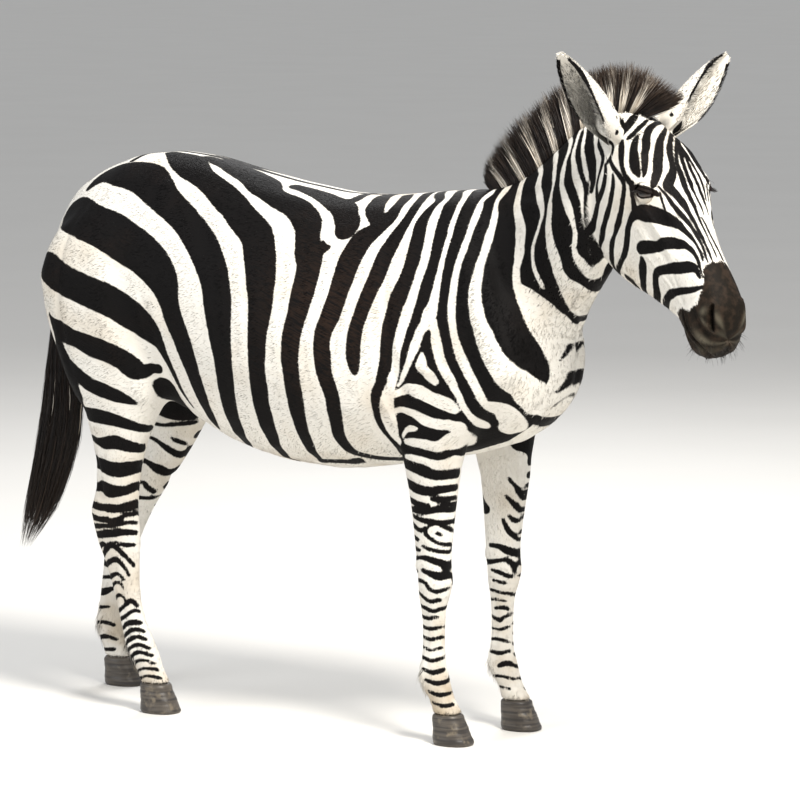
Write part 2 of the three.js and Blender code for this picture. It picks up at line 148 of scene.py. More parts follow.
# Height and fore-and-aft centre of each leg, and the distance of its centre line from the midline.
LEG_LINES = {
    "front_right": rows("820 410, 680 347, 480 340, 300 339, 150 340, 102 360, 70 375"),
    "front_left": rows("820 410, 680 380, 560 391, 300 389, 150 390, 102 410, 70 425"),
    "hind_right": rows("755 -490, 640 -491, 526 -498, 462 -507, 390 -498, 305 -484, 205 -462, 132 -435, 70 -405"),
    "hind_left": rows("755 -501, 640 -517, 535 -566, 462 -631, 390 -658, 305 -674, 205 -691, 132 -692, 70 -672"),
}
LEG_Y = {"front": 117, "hind": 131}
LEGS_PART_X = 120  # fore legs are ahead of this, hind legs behind it


def body_chart(points):
    x, y, z = points.T
    top, half, widest = follow(x, BACK, 1, 2, 3)
    rise = np.maximum(top - widest, 30)
    angle = np.arctan2(np.maximum(z - widest, 0) / rise, np.abs(y) / half)
    arc = np.zeros_like(angle)
    for k in range(ARC_STEPS):
        t = angle * (k + 0.5) / ARC_STEPS
        arc += np.hypot(half * np.sin(t), rise * np.cos(t))
    arc = widest + arc * angle / ARC_STEPS
    plain = smoothstep(180, 400, x)
    return np.c_[x, np.where(z > widest, arc * (1 - plain) + z * plain, z)]


def leg_x(name, z):
    return follow(z, LEG_LINES[name][::-1], 1)[0]


def own_leg(points, name):
    """Whether each place is in the quarter of the body that a leg stands under."""
    kind, side = name.split("_")
    x, y, _ = points.T
    return (SIDES[side] * y > 0) & ((x > LEGS_PART_X) == (kind == "front"))


# ---- small mesh tools ------------------------------------------------------------------------------------


def place_object(name, data):
    made = bpy.data.objects.new(name, data)
    bpy.context.scene.collection.objects.link(made)
    return made


def new_piece(name, points, faces, material):
    """A smooth mesh object from points in millimetres; faces: a list of index arrays, one per count."""
    mesh = bpy.data.meshes.new(name)
    mesh.vertices.add(len(points))
    mesh.vertices.foreach_set("co", to_row(points).astype(np.float32).ravel())
    counts = np.concatenate([np.full(len(f), f.shape[1]) for f in faces])
    corners = np.concatenate([f.ravel() for f in faces])
    mesh.loops.add(len(corners))
    mesh.loops.foreach_set("vertex_index", corners.astype(np.int32))
    mesh.polygons.add(len(counts))
    mesh.polygons.foreach_set("loop_start", (np.cumsum(counts) - counts).astype(np.int32))
    mesh.update(calc_edges=True)
    mesh.polygons.foreach_set("use_smooth", np.full(len(counts), True))
    mesh.materials.append(material)
    piece = place_object(name, mesh)
    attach(piece, "root")
    return piece


def store(mesh, name, values):
    kind, field = ("FLOAT", "value") if values.ndim == 1 else ("FLOAT_VECTOR", "vector")
    data = mesh.attributes.new(name, kind, "POINT").data
    data.foreach_set(field, values.astype(np.float32).ravel())


def read(items, field, kind=np.int32, width=1):
    values = np.empty(len(items) * width, kind)
    items.foreach_get(field, values)
    return values.reshape(-1, width) if width > 1 else values


def read_points(mesh):
    return from_row(read(mesh.vertices, "co", np.float32, 3))


def read_triangles(mesh):
    mesh.calc_loop_triangles()
    return read(mesh.loop_triangles, "vertices", width=3)


def read_edges(mesh):
    return read(mesh.edges, "vertices", width=2)


def read_faces(mesh):
    """Corners of a mesh's faces, one array for each count of corners."""
    counts = read(mesh.polygons, "loop_total")
    corners = read(mesh.loops, "vertex_index")
    starts = np.cumsum(counts) - counts
    return {int(n): corners[starts[counts == n][:, None] + np.arange(n)] for n in np.unique(counts)}


def halves(quads):
    return np.vstack([quads[:, [0, 1, 2]], quads[:, [0, 2, 3]]])


def normals_of(points, triangles):
    a, b, c = points[triangles.T]
    face = np.cross(b - a, c - a)
    total = np.zeros((len(points), 3))
    for corner in triangles.T:
        for axis in range(3):
            total[:, axis] += np.bincount(corner, face[:, axis], len(points))
    return unit(total)


def smoothed(points, edges, rounds, strength):
    """Evens out facets; what the blur takes from the form itself is blurred too and given back."""
    count = len(points)
    degree = np.maximum(np.bincount(edges.ravel(), minlength=count), 1)
    weight = np.broadcast_to(strength, count)[:, None]
    a, b = edges.T

    def blur(values):
        for _ in range(rounds):
            total = [np.bincount(a, v[b], count) + np.bincount(b, v[a], count) for v in values.T]
            values = values + weight * (np.stack([t / degree for t in total], 1) - values)
        return values

    once = blur(points)
    return once + blur(points - once)


def remeshed(points, triangles, voxel):
    """Points and quads of one closed mesh round all the given closed shells."""
    mesh = bpy.data.meshes.new("union")
    mesh.from_pydata((points * MM).tolist(), [], triangles.tolist())
    whole = place_object("union", mesh)
    modifier = whole.modifiers.new("union", "REMESH")
    modifier.mode = "VOXEL"
    modifier.voxel_size = voxel * MM
    evaluated = whole.evaluated_get(bpy.context.evaluated_depsgraph_get())
    made = bpy.data.meshes.new_from_object(evaluated)
    bpy.data.objects.remove(whole)
    points = read(made.vertices, "co", np.float32, 3) / MM
    quads = read(made.loops, "vertex_index").reshape(-1, 4)
    bpy.data.meshes.remove(made)
    return points, quads


def closed_rings(rings, sides):
    """Triangles over rings of points; the last two points close the first ring and the last one."""
    r, k = (g.ravel() for g in np.meshgrid(np.arange(rings - 1), np.arange(sides), indexing="ij"))
    a, b = r * sides + k, r * sides + (k + 1) % sides
    first = np.arange(sides)
    after = (first + 1) % sides
    last = (rings - 1) * sides
    start, end = np.full(sides, rings * sides), np.full(sides, rings * sides + 1)
    return np.vstack(
        [
            np.c_[a, a + sides, b],
            np.c_[b, a + sides, b + sides],
            np.c_[start, first, after],
            np.c_[end, last + after, last + first],
        ]
    )


def ball(rings, sides):
    """Points and triangles of a sphere of radius 1."""
    lat = np.linspace(0, math.pi, rings + 1)[1:-1]
    lon = np.linspace(0, 2 * math.pi, sides, endpoint=False)
    la, lo = (g.ravel() for g in np.meshgrid(lat, lon, indexing="ij"))
    points = np.c_[np.sin(la) * np.cos(lo), np.sin(la) * np.sin(lo), np.cos(la)]
    return np.vstack([points, UP, -UP]), closed_rings(rings - 1, sides)


def tube(line, sides=24):
    """A closed round tube; a row of the line is a place, the half size fore and aft, and that across."""
    angle = np.linspace(0, 2 * math.pi, sides, endpoint=False)
    rings = [np.c_[x + fore * np.cos(angle), y + across * np.sin(angle), np.full(sides, z)]
             for x, y, z, fore, across in line]
    return np.vstack([*rings, line[0, :3], line[-1, :3]]), closed_rings(len(line), sides)


# ---- lines on the charts ---------------------------------------------------------------------------------


def rounded(line, parts=3):
    """The line with a cubic's points put between its own."""
    if len(line) < 3:
        return line
    ends = np.vstack([2 * line[0] - line[1], line, 2 * line[-1] - line[-2]])
    out = []
    for a, b, c, d in zip(ends[:-3], ends[1:-2], ends[2:-1], ends[3:]):
        for t in np.arange(parts) / parts:
            bend = (2 * a - 5 * b + 4 * c - d) * t**2 + (3 * b - a - 3 * c + d) * t**3
            out.append(0.5 * (2 * b + (c - a) * t + bend))
    return np.array([*out, line[-1]])


def places_near(chart, line, margin):
    """Numbers of the places that lie within a margin of a line's box."""
    low, high = line[:, :2].min(0) - margin, line[:, :2].max(0) + margin
    return np.flatnonzero(((chart > low) & (chart < high)).all(1))


def distance_to(chart, lines, reach=40.0, wide=True):
    """Distance on the chart to the nearest line; with wide, to the edge of its width, negative inside."""
    nearest = np.full(len(chart), reach)
    for line in map(rounded, lines):
        width = np.abs(line[:, 2]) * wide
        near = places_near(chart, line, reach + width.max())
        if not len(near):
            continue
        p, best = chart[near], nearest[near]
        for a, b, wa, wb in zip(line[:-1], line[1:], width[:-1], width[1:]):
            span = b[:2] - a[:2]
            t = np.clip((p - a[:2]) @ span / max(span @ span, 1e-6), 0, 1)
            gap = np.hypot(*(p - a[:2] - t[:, None] * span).T)
            best = np.minimum(best, gap - (wa + t * (wb - wa)))
        nearest[near] = best
    return nearest


# ---- markings --------------------------------------------------------------------------------------------

# Black stripes as lines on the body's chart: place along the trunk, height or arc, half width.
# The short, wide line at -345 772 is the black of the groin: partly a stripe, partly painted shadow between the
# stifle and the belly.
TRUNK_STRIPES = table("""
-420 1395 12, -385 1375 26, -345 1350 42, -310 1318 38, -280 1297 31, -240 1274 31, -200 1247 35,
-160 1217 35, -125 1187 36, -80 1150 39, -56 1100 41, -42 1050 39, -34 1000 34, -34 950 29, -37 900 25,
-37 850 23, -36 800 24, -38 750 23, -40 700 22, -45 670 17, -50 640 13, -55 612 8
-590 1228 8, -575 1252 16, -550 1275 25, -520 1288 37, -480 1290 45, -440 1283 47, -410 1272 48,
-375 1245 43, -340 1216 37, -300 1190 35, -260 1161 36, -211 1111 39, -176 1060 40, -159 1020 39,
-150 980 39, -144 940 35, -139 900 31, -133 860 27, -132 820 26, -134 780 25, -138 740 23, -142 700 21,
-148 670 18, -155 645 12, -158 628 6
-490 1400 11, -492 1370 9, -497 1342 9
-655 1150 8, -635 1153 24, -610 1156 44, -580 1155 50, -540 1145 48, -500 1139 48, -460 1126 50,
-420 1108 50, -400 1098 50, -370 1082 47, -339 1060 46, -308 1025 40, -290 980 29, -277 940 27, -257 900 26,
-243 860 25, -232 820 22, -225 780 21, -221 740 18, -221 700 14, -229 682 7
-665 1040 22, -640 1033 34, -600 1016 35, -560 1004 35, -520 992 36, -480 981 37, -440 965 36, -400 942 36,
-368 922 33, -345 903 27, -328 880 18, -316 855 12, -305 830 9, -296 800 8, -290 770 6, -283 745 4,
-276 728 3
-632 920 6, -610 905 15, -585 888 23, -560 880 20, -540 875 22, -500 862 26, -460 851 25, -430 838 25,
-405 818 26, -385 811 18, -365 817 13, -348 817 12
-590 828 9, -570 805 17, -550 790 18, -520 772 18, -480 760 18, -440 745 16, -415 733 12, -400 722 8
-345 772 25, -343 745 23, -338 722 14
-640 930 4, -625 900 8, -613 868 14, -613 840 24, -608 800 42, -600 765 42, -590 735 40, -570 708 24
-315 1390 12, -280 1377 22, -240 1367 30, -200 1350 36, -165 1333 37, -130 1308 40, -95 1277 29,
-60 1259 30, -20 1243 32, 12 1219 33, 38 1190 33, 51 1150 30, 64 1118 34, 75 1090 32, 75 1050 30,
73 1020 30, 67 980 26, 58 940 25, 53 900 24, 52 870 23, 55 840 22, 58 800 22, 59 760 21, 57 720 18,
56 690 16, 52 660 14, 52 640 10, 50 625 6
96 1128 22, 108 1130 9
-60 1328 16, -20 1318 19, 20 1302 24, 60 1280 28, 100 1252 31, 118 1225 29, 134 1200 30, 138 1180 27,
136 1168 12
84 1285 22, 102 1300 17, 108 1318 13, 106 1345 12
165 1350 18, 165 1320 20, 170 1290 22, 177 1262 24, 185 1240 22, 205 1215 22, 224 1204 25, 232 1240 16,
232 1280 15, 222 1320 12
222 1200 24, 210 1180 25, 192 1160 28, 180 1130 29, 172 1090 28, 166 1050 26, 160 1010 24, 150 975 24,
137 940 22, 133 910 21, 135 880 21, 138 850 20, 146 820 19, 153 790 18, 152 750 17, 147 710 15, 144 685 15,
150 660 13, 165 648 9, 190 640 7, 220 636 6, 250 634 8
272 1305 12, 278 1270 12, 281 1240 13, 280 1210 13, 275 1180 15, 266 1150 19, 258 1120 21, 251 1085 20,
242 1050 19, 231 1010 18, 222 980 17, 214 950 17, 210 920 17, 209 890 17, 210 865 14, 212 850 9
308 1285 14, 314 1264 13, 330 1240 11, 326 1215 14, 317 1193 14, 320 1157 15, 322 1121 16, 321 1086 16,
314 1050 18, 303 1014 19, 294 979 18, 288 944 16, 285 909 14, 281 873 13, 278 855 13, 273 837 12,
266 819 11, 256 801 11, 251 780 9, 249 740 8, 255 710 8, 262 690 9, 266 670 9, 262 650 10
45 622 6, 80 624 6, 120 624 7, 150 630 8
612 870 8, 604 838 5, 600 822 3
""")
# Ahead of this line the hide is black, and the white stripes are drawn instead: height, place along it.
BLACK_AHEAD = rows("""
640 262, 680 264, 700 257, 740 249, 780 251, 801 255, 819 266, 837 273, 873 281, 909 285, 944 288, 979 294,
1014 303, 1050 314, 1086 321, 1121 322, 1157 320, 1193 317, 1229 330, 1264 314, 1300 300
""")
WHITE_STRIPES = table("""
-110 1393 8, -60 1366 18, -20 1358 16, 20 1344 13, 50 1332 15, 72 1319 14, 84 1309 9
196 1330 9, 200 1290 8, 206 1262 6, 212 1238 4
318 1276 5, 334 1256 7, 346 1236 6, 342 1218 8, 343 1193 11, 348 1157 10, 351 1121 10, 351 1100 10,
346 1068 10, 343 1050 10, 336 1014 11, 329 989 12, 323 964 12, 313 925 11, 308 895 10, 303 855 9,
296 837 10, 291 819 10, 284 801 13, 277 775 15, 274 748 17, 274 720 16, 273 700 12, 278 684 6
372 1250 7, 386 1236 6, 391 1211 6, 392 1193 6, 395 1157 6, 394 1121 6, 392 1086 6, 390 1060 7, 388 1032 9,
385 1005 11, 378 980 16, 374 966 13
374 966 13, 366 952 11, 358 940 10, 354 926 10, 348 909 11, 342 891 8, 336 873 7, 327 855 6, 318 837 5,
309 823 3, 303 815 1
384 966 12, 392 944 9, 395 926 11, 399 909 12, 403 891 12, 409 873 12, 420 855 12, 431 837 12, 440 819 10,
450 801 8, 455 784 8, 463 766 7, 472 748 8, 477 734 10
440 1243 7, 431 1229 5, 434 1211 6, 436 1193 7, 437 1157 6, 435 1121 7, 431 1086 8, 430 1050 9, 429 1014 10,
430 979 10, 433 962 9, 436 944 9, 442 926 10, 448 909 11, 456 891 12, 465 873 12, 474 855 12, 484 837 11,
491 819 10, 497 801 10, 503 784 8, 510 778 14, 525 765 20, 530 748 25, 528 735 21, 512 722 13
482 1256 11, 470 1229 6, 472 1211 6, 476 1193 8, 478 1157 8, 478 1121 8, 477 1086 9, 479 1050 11,
484 1014 14, 489 996 15, 493 979 16, 501 962 16, 509 944 19, 517 926 20, 524 909 21, 533 891 22, 543 873 23,
552 855 24, 562 835 26, 575 815 29, 577 800 29, 577 784 21, 572 766 11
532 1278 10, 533 1254 9, 533 1229 10, 539 1211 12, 549 1193 13, 556 1175 15, 557 1157 15, 557 1139 13,
556 1121 13, 553 1104 10, 550 1086 8, 551 1068 9, 553 1050 9, 562 1037 13, 577 1020 22, 594 1000 30,
609 980 37, 622 955 40, 634 930 39, 641 905 38, 650 880 40, 649 850 39, 641 825 36, 626 800 32, 608 778 24,
590 760 14
578 840 7, 590 830 9, 598 815 9
575 1314 6, 590 1306 8, 602 1297 8, 601 1279 9, 601 1261 11, 612 1243 12, 620 1229 10, 624 1215 7,
624 1204 5, 619 1190 4, 612 1172 4, 603 1154 4, 596 1136 4, 594 1118 5, 595 1101 5, 598 1083 6, 607 1065 6,
614 1051 5, 617 1044 3
630 1350 7, 647 1333 10, 653 1315 7, 654 1297 6, 653 1279 4, 653 1261 4, 651 1243 5, 650 1226 7, 649 1208 8,
648 1190 9, 648 1172 10, 649 1154 12, 652 1136 14, 657 1118 16, 661 1101 15, 664 1083 15, 671 1065 17,
682 1046 23, 694 1028 32, 700 1010 37
672 1378 6, 690 1370 7, 693 1352 5, 689 1336 4, 685 1318 5, 681 1297 7, 683 1279 7, 691 1261 8, 700 1243 10,
709 1226 10, 716 1208 7, 719 1190 5, 721 1172 5, 718 1154 6, 714 1136 6, 718 1118 9, 727 1102 13,
735 1086 13, 739 1080 11
712 1400 6, 712 1369 4, 710 1351 5, 711 1333 6, 716 1315 8, 724 1297 10, 733 1279 10, 739 1261 8,
743 1243 5, 744 1226 4, 745 1190 3, 744 1150 2
728 1402 5, 733 1388 4, 734 1369 5, 736 1351 5, 741 1333 6, 748 1315 6, 755 1297 5, 760 1278 3
766 1392 6, 771 1376 7, 776 1354 6, 778 1330 5, 776 1300 3
364 894 4, 365 882 8, 365 867 12, 373 855 11, 384 843 12, 393 833 9
290 797 8, 299 800 7, 311 806 8, 329 813 12, 347 809 16, 365 801 15, 383 794 14, 401 788 16, 418 783 16,
433 775 13, 440 771 8
292 760 6, 300 764 6, 311 764 7, 329 758 9, 347 750 11, 365 742 12, 383 738 12, 401 736 12, 418 736 12,
436 730 14, 443 733 11
298 702 4, 305 712 5, 313 719 6, 325 722 7, 338 722 4
300 688 5, 311 690 8, 329 690 10, 347 689 11, 365 686 12, 383 684 12, 401 690 13, 418 697 18, 432 708 16,
442 718 12
297 655 5, 311 655 7, 329 653 7, 347 650 7, 365 646 7, 383 644 7, 400 648 8, 415 655 8
""")
# Black over that white: the far half of the breast.
FAR_BREAST = table("""
626 877 2, 634 893 4, 641 912 4
641 850 4, 634 828 5, 624 814 4, 615 806 2
632 801 1, 616 786 1, 603 773 1
""")

# Rings round the legs, outer side: place fore and aft on the right leg, height, half width.
FRONT_RINGS = table("""
295 672 9, 333 672 10, 380 667 11, 413 667 8, 433 672 4
280 640 9, 305 634 11, 340 626 13, 373 617 12, 407 619 10
278 598 9, 305 589 12, 330 582 12, 355 580 11, 378 584 10, 405 588 8
280 560 7, 310 551 8, 330 546 8, 350 545 7
362 563 7, 385 561 8, 402 566 4
372 545 4, 398 549 6
288 532 6, 315 533 8, 335 532 7, 350 534 8, 375 539 8, 400 535 6
305 518 5, 330 512 6, 350 510 7, 375 507 7, 398 510 5
285 500 6, 302 497 7, 325 488 6, 343 494 6
350 500 4, 366 505 4, 382 497 5, 390 485 4
287 470 6, 303 469 6, 317 465 5
340 480 6, 352 470 5, 367 461 5, 383 456 5
366 484 5, 372 480 5
290 445 6, 305 444 6, 320 442 5
330 452 4, 350 446 5, 372 441 5, 388 436 4
300 420 5, 330 426 5, 355 421 8, 372 414 8, 377 402 6
328 397 5, 350 391 8, 372 385 10, 386 391 5
292 395 5, 310 392 5
300 372 5, 333 371 5, 347 356 5, 362 350 5, 380 356 4
300 348 4, 322 340 5, 345 327 5, 365 331 5
303 318 4, 328 310 5, 350 304 5, 368 310 4
306 292 4, 332 286 5, 358 290 4
310 268 4, 338 262 5, 362 266 4
312 244 3, 340 238 5, 364 244 4
314 220 4, 342 214 4, 364 220 4
316 196 4, 345 190 5, 368 197 4
322 170 4, 350 164 6, 374 172 5
332 146 5, 362 140 6, 386 148 4
340 120 5, 368 114 5, 392 120 4
350 96 4, 378 90 5, 402 96 4
""")
HIND_RINGS = table("""
-560 702 14, -545 700 17, -500 697 18, -460 690 15, -430 680 13, -405 668 9, -396 660 5
-560 640 7, -540 641 9, -520 637 9, -500 634 15, -470 638 17, -445 630 15, -420 620 10, -408 615 6
-560 588 14, -515 580 17, -490 573 18, -465 572 18, -440 578 15, -428 584 10
-560 520 9, -535 526 12, -520 527 16, -500 520 17, -480 520 14, -460 523 11, -442 533 9, -430 540 6
-565 482 8, -545 480 10, -525 478 9, -500 478 11, -480 478 10, -460 483 11, -442 492 10, -434 496 5
-575 455 8, -555 452 9, -535 449 7, -515 450 8, -500 448 7, -480 453 7, -468 462 5, -452 466 6, -440 468 4
-572 428 6, -550 431 7, -525 434 5, -505 437 6, -480 442 6, -455 446 5, -442 443 4
-568 405 7, -545 411 9, -525 415 9, -505 418 10, -480 422 9, -460 423 8, -445 421 6
-492 398 4, -470 393 6, -450 393 5
-562 372 7, -545 382 8, -530 390 7, -519 388 5
-545 352 7, -530 368 7, -515 384 8, -503 392 8, -487 383 7, -471 368 6, -458 353 5, -452 343 4
-540 330 6, -524 342 7, -507 352 7, -492 356 7, -478 345 6, -468 332 5, -462 320 4
-530 303 6, -510 315 6, -495 322 5, -484 318 5, -475 309 4
-520 282 5, -502 299 5, -487 300 5, -478 289 4
-508 258 5, -490 272 4, -472 262 4
-497 232 5, -484 240 5, -470 252 6, -458 260 7, -447 249 4
-492 212 5, -470 225 5, -450 238 5, -436 232 3
-485 190 4, -468 205 6, -450 210 7, -434 209 4
-480 172 5, -460 189 6, -440 194 5, -424 188 3
-478 152 5, -456 171 6, -436 177 5, -420 171 4
-472 135 5, -450 154 5, -430 159 5, -412 151 4
-465 118 5, -445 137 5, -425 142 5, -404 134 4
-460 103 4, -438 120 5, -415 123 4, -398 116 3
-450 88 4, -425 103 4, -398 104 4, -385 99 3
-436 78 4, -408 88 4, -378 82 3
""")
# The white inner sides of the legs carry fewer rings, strongest at the front edge.
FRONT_INNER = table("""
255 575 9, 300 515 14, 312 508 12
375 582 5, 385 567 5, 391 550 6, 396 535 5
365 542 5, 376 530 6, 384 519 7, 390 505 5
370 497 4, 378 486 6, 388 480 5
357 487 4, 365 466 6, 376 450 7, 384 440 5
322 426 5, 345 425 6, 360 419 9, 376 410 9, 388 403 6
290 382 8, 308 385 8, 330 389 6, 350 393 5, 365 395 6, 377 381 5, 380 365 4
328 370 4, 350 365 5, 372 356 5
332 345 4, 360 341 5
318 322 4, 345 318 5, 368 314 5
312 298 3, 338 300 4, 356 298 4
330 279 4, 352 282 5, 366 276 4
314 262 3, 341 252 6, 356 262 4, 368 264 3
312 232 3, 340 230 4, 360 236 4
316 205 4, 338 208 4, 362 203 4
318 178 4, 345 176 5, 366 182 4
345 148 6, 362 154 7, 378 148 5
330 122 4, 352 124 4, 378 118 4
345 98 4, 372 96 4
""")
# The second line here, the wide patch at the top of the inner thigh, is painted shadow under the belly, in black;
# the other lines are rings.
HIND_INNER = table("""
-600 650 10, -560 655 6, -500 645 5, -462 648 5, -430 652 6, -415 654 5
-495 690 22, -455 682 24, -425 672 14
-462 615 3, -446 607 6, -430 600 5
-545 618 4, -506 607 5, -474 592 7, -443 575 8, -424 560 6
-560 560 6, -513 552 6, -484 540 9, -455 528 9, -436 520 7
-560 505 6, -515 500 5, -490 500 5, -470 488 6, -450 478 6
-540 470 4, -500 464 5, -470 462 5, -440 462 5, -425 468 4
-560 428 4, -530 427 4, -500 421 4
-545 396 4, -510 400 5, -480 392 4
-535 362 4, -505 370 5, -475 360 4
-520 330 5, -500 338 5, -470 330 4
-515 296 7, -495 291 7, -472 286 5
-505 258 5, -480 262 5, -455 256 4
-495 222 9, -478 226 10, -458 236 5
-480 186 4, -452 190 4
-470 150 4, -445 152 5, -420 146 4
-455 112 6, -435 118 6, -405 112 4
-440 84 4, -405 88 5
""")

# Stripes of the head's right side: place along the head, hundredths of a radian round it, half width.
HEAD_STRIPES = table("""
34 18 4, 36 6 5, 37 -2 3
10 -20 4, 22 -38 9, 34 -58 9, 47 -76 7, 52 -86 4
38 -11 4, 48 -28 5, 56 -46 5, 65 -64 6, 68 -72 4
24 64 2, 38 40 3, 46 20 5, 53 0 6, 64 -20 7, 84 -36 8, 105 -46 8, 125 -57 7, 150 -67 6, 168 -74 4, 176 -79 2
69 -46 2, 76 -56 5, 90 -66 7, 110 -76 9, 130 -83 11, 150 -86 9, 165 -86 4, 171 -86 1
65 -90 6, 80 -96 8, 100 -105 8, 120 -111 7, 140 -114 6, 158 -113 5, 172 -108 6
44 62 2, 54 42 3, 66 24 4, 82 6 5, 100 -12 7, 120 -25 8, 140 -35 9, 160 -44 9, 175 -50 9, 190 -60 8,
206 -71 5
60 56 2, 76 36 3, 96 16 4, 120 0 6, 140 -10 6, 160 -15 6, 180 -19 7, 197 -30 9, 212 -42 11, 220 -44 11,
235 -38 9, 250 -32 8, 260 -29 8, 280 -25 6, 300 -21 5, 320 -18 4, 340 -16 4, 360 -15 3, 380 -14 3,
400 -15 2, 409 -16 1
90 38 2, 112 22 3, 134 8 3, 160 -3 4, 180 -6 5, 205 -8 6, 230 -10 6, 255 -7 5, 272 -5 4, 300 -5 3, 330 -2 2,
360 1 2, 380 3 2, 398 3 1
212 -63 2, 230 -57 3, 245 -54 4, 260 -51 4, 280 -44 5, 300 -36 5, 320 -30 4, 340 -26 4, 360 -25 3,
380 -26 3, 402 -29 2
225 -66 2, 245 -69 2, 264 -72 2
396 -39 2, 380 -36 3, 360 -37 3, 340 -41 4, 320 -49 6, 300 -58 9, 285 -70 12, 270 -85 15, 255 -100 17,
240 -117 18, 228 -132 14, 225 -150 10, 227 -165 9, 233 -182 9, 244 -200 8, 254 -220 8, 260 -240 7,
259 -260 6, 255 -280 6, 248 -302 6
430 -60 1, 410 -56 3, 395 -52 4, 380 -51 4, 360 -56 6, 343 -68 9, 332 -84 12, 323 -100 13, 316 -120 12,
311 -140 12, 302 -158 14, 291 -178 15, 287 -190 12, 288 -198 6
425 -68 4, 404 -68 9, 393 -80 12, 387 -94 13, 381 -108 13, 375 -124 13, 369 -140 13, 363 -156 12,
357 -172 11, 351 -188 10, 347 -204 8, 349 -220 7, 355 -234 8, 363 -248 10, 369 -262 10, 369 -280 10,
362 -302 9
450 -70 4, 444 -90 5, 439 -106 6, 434 -120 7, 427 -140 8, 420 -160 8, 414 -180 8, 407 -200 9, 402 -220 10,
399 -240 9, 397 -260 9, 395 -285 9, 392 -306 8
302 -209 6, 308 -216 9, 314 -230 10, 320 -243 9, 327 -257 8, 331 -272 7, 332 -306 7
282 -279 6, 300 -281 8, 312 -290 5
150 -110 3, 163 -110 5, 178 -114 6, 195 -123 6, 210 -131 8, 222 -138 9
80 -139 5, 100 -137 5, 120 -132 5, 140 -127 6, 155 -128 6, 166 -137 7, 176 -150 7, 186 -165 7, 196 -183 7,
203 -202 7, 207 -220 6, 213 -238 7, 222 -254 7, 232 -270 7, 238 -285 8
115 -147 3, 125 -152 5, 136 -161 6, 147 -175 7, 157 -190 7, 165 -206 7, 172 -223 7, 177 -240 7, 181 -255 7,
184 -270 6, 186 -285 6
80 -160 4, 92 -164 6, 103 -173 7, 112 -184 8, 119 -197 8, 123 -210 8, 127 -222 8, 134 -235 9, 143 -252 9,
147 -268 8, 146 -290 6
10 -158 3, 25 -164 7, 45 -160 7, 60 -162 7, 70 -172 6, 80 -187 4, 90 -205 4, 100 -215 5, 118 -224 6
-45 -190 6, -20 -188 9, 0 -192 11, 25 -198 11, 45 -204 13, 65 -212 10, 80 -218 7, 92 -231 4
44 -118 4, 54 -114 4, 66 -120 4, 75 -132 4, 79 -150 4
62 -226 4, 80 -236 5, 100 -248 4, 120 -257 3, 140 -265 2, 165 -276 2, 190 -292 3
""")
# The left side of the forehead and of the nose, where it doesn't mirror the right one.
FAR_FACE = table("""
70 56 3, 76 44 4, 84 32 3, 92 24 3, 104 16 3
84 60 5, 92 48 6, 102 36 7, 112 28 8, 128 26 9, 145 27 9, 156 27 6
100 62 8, 118 60 12, 135 58 14, 152 57 14, 168 58 12, 182 60 7, 194 60 3
150 33 3, 168 34 3, 184 37 3, 200 41 4, 218 43 4, 235 43 3, 254 41 2
156 24 3, 180 23 4, 200 25 4, 220 27 4, 240 29 4, 258 31 3, 276 34 2, 290 36 1
128 18 5, 145 15 5, 165 10 5, 182 9 5, 200 8 5, 218 8 6, 228 7 4, 245 8 3, 260 12 3, 276 15 3, 292 16 1
300 4 2, 320 9 3, 340 12 3, 360 17 3, 380 22 3, 400 25 3
""")
HEAD_WIDER = 1.1  # added to the half width of each stripe of the head
# Where the brown of the muzzle begins: place round the head, place along it.
MUZZLE_EDGE = rows("""
-330 437, -220 440, -200 450, -180 464, -150 468, -120 472, -100 466, -85 458, -72 448, -62 438, -52 420,
-40 409, -20 405, 0 405
""")
FAR_FROM_MUZZLE = 60.0
MOUTH = table("""
455 -210 0, 475 -216 0, 495 -217 0, 515 -214 0, 530 -214 0, 543 -222 0, 552 -238 0, 558 -262 0, 560 -314 0
""")
NOSTRIL = table("496 -72 2, 503 -82 5, 510 -92 7, 519 -104 8, 527 -116 7, 534 -126 4")
# Painted highlights on the bulges of the muzzle, as paler olive-grey places: along, round, spread along, spread
# round, how pale.
SNOUT_HIGHLIGHTS = rows("""
527 -75 14 12 0.55, 495 -112 8 16 0.5, 513 -131 12 7 0.5, 537 -187 22 13 0.7, 552 -232 14 20 0.4,
549 -100 7 22 0.35
""")

DORSAL_HALF, BELLY_HALF = 11, 13  # half widths of the black lines along the back and the belly
BREAST_HALF = 55  # the white between the front legs
LEG_BLEND = 14  # how softly the outer and inner sides of a leg meet
# Leg, its rings outside and inside, the height they begin at, how far from the leg's centre line they reach.
LEG_RINGS = (("front", FRONT_RINGS, FRONT_INNER, 640, 85), ("hind", HIND_RINGS, HIND_INNER, 720, 125))


def rings_of(points, name, outer, inner):
    """Signed distance to the rings of one leg, drawn on the right leg and carried to this one's place."""
    kind, side = name.split("_")
    x, _, z = points.T
    chart = np.c_[x - leg_x(name, z) + leg_x(f"{kind}_right", z), z]
    outward = SIDES[side] * points[:, 1] - LEG_Y[kind]
    share = smoothstep(-LEG_BLEND, LEG_BLEND, outward + 6)
    return share * distance_to(chart, outer) + (1 - share) * distance_to(chart, inner)


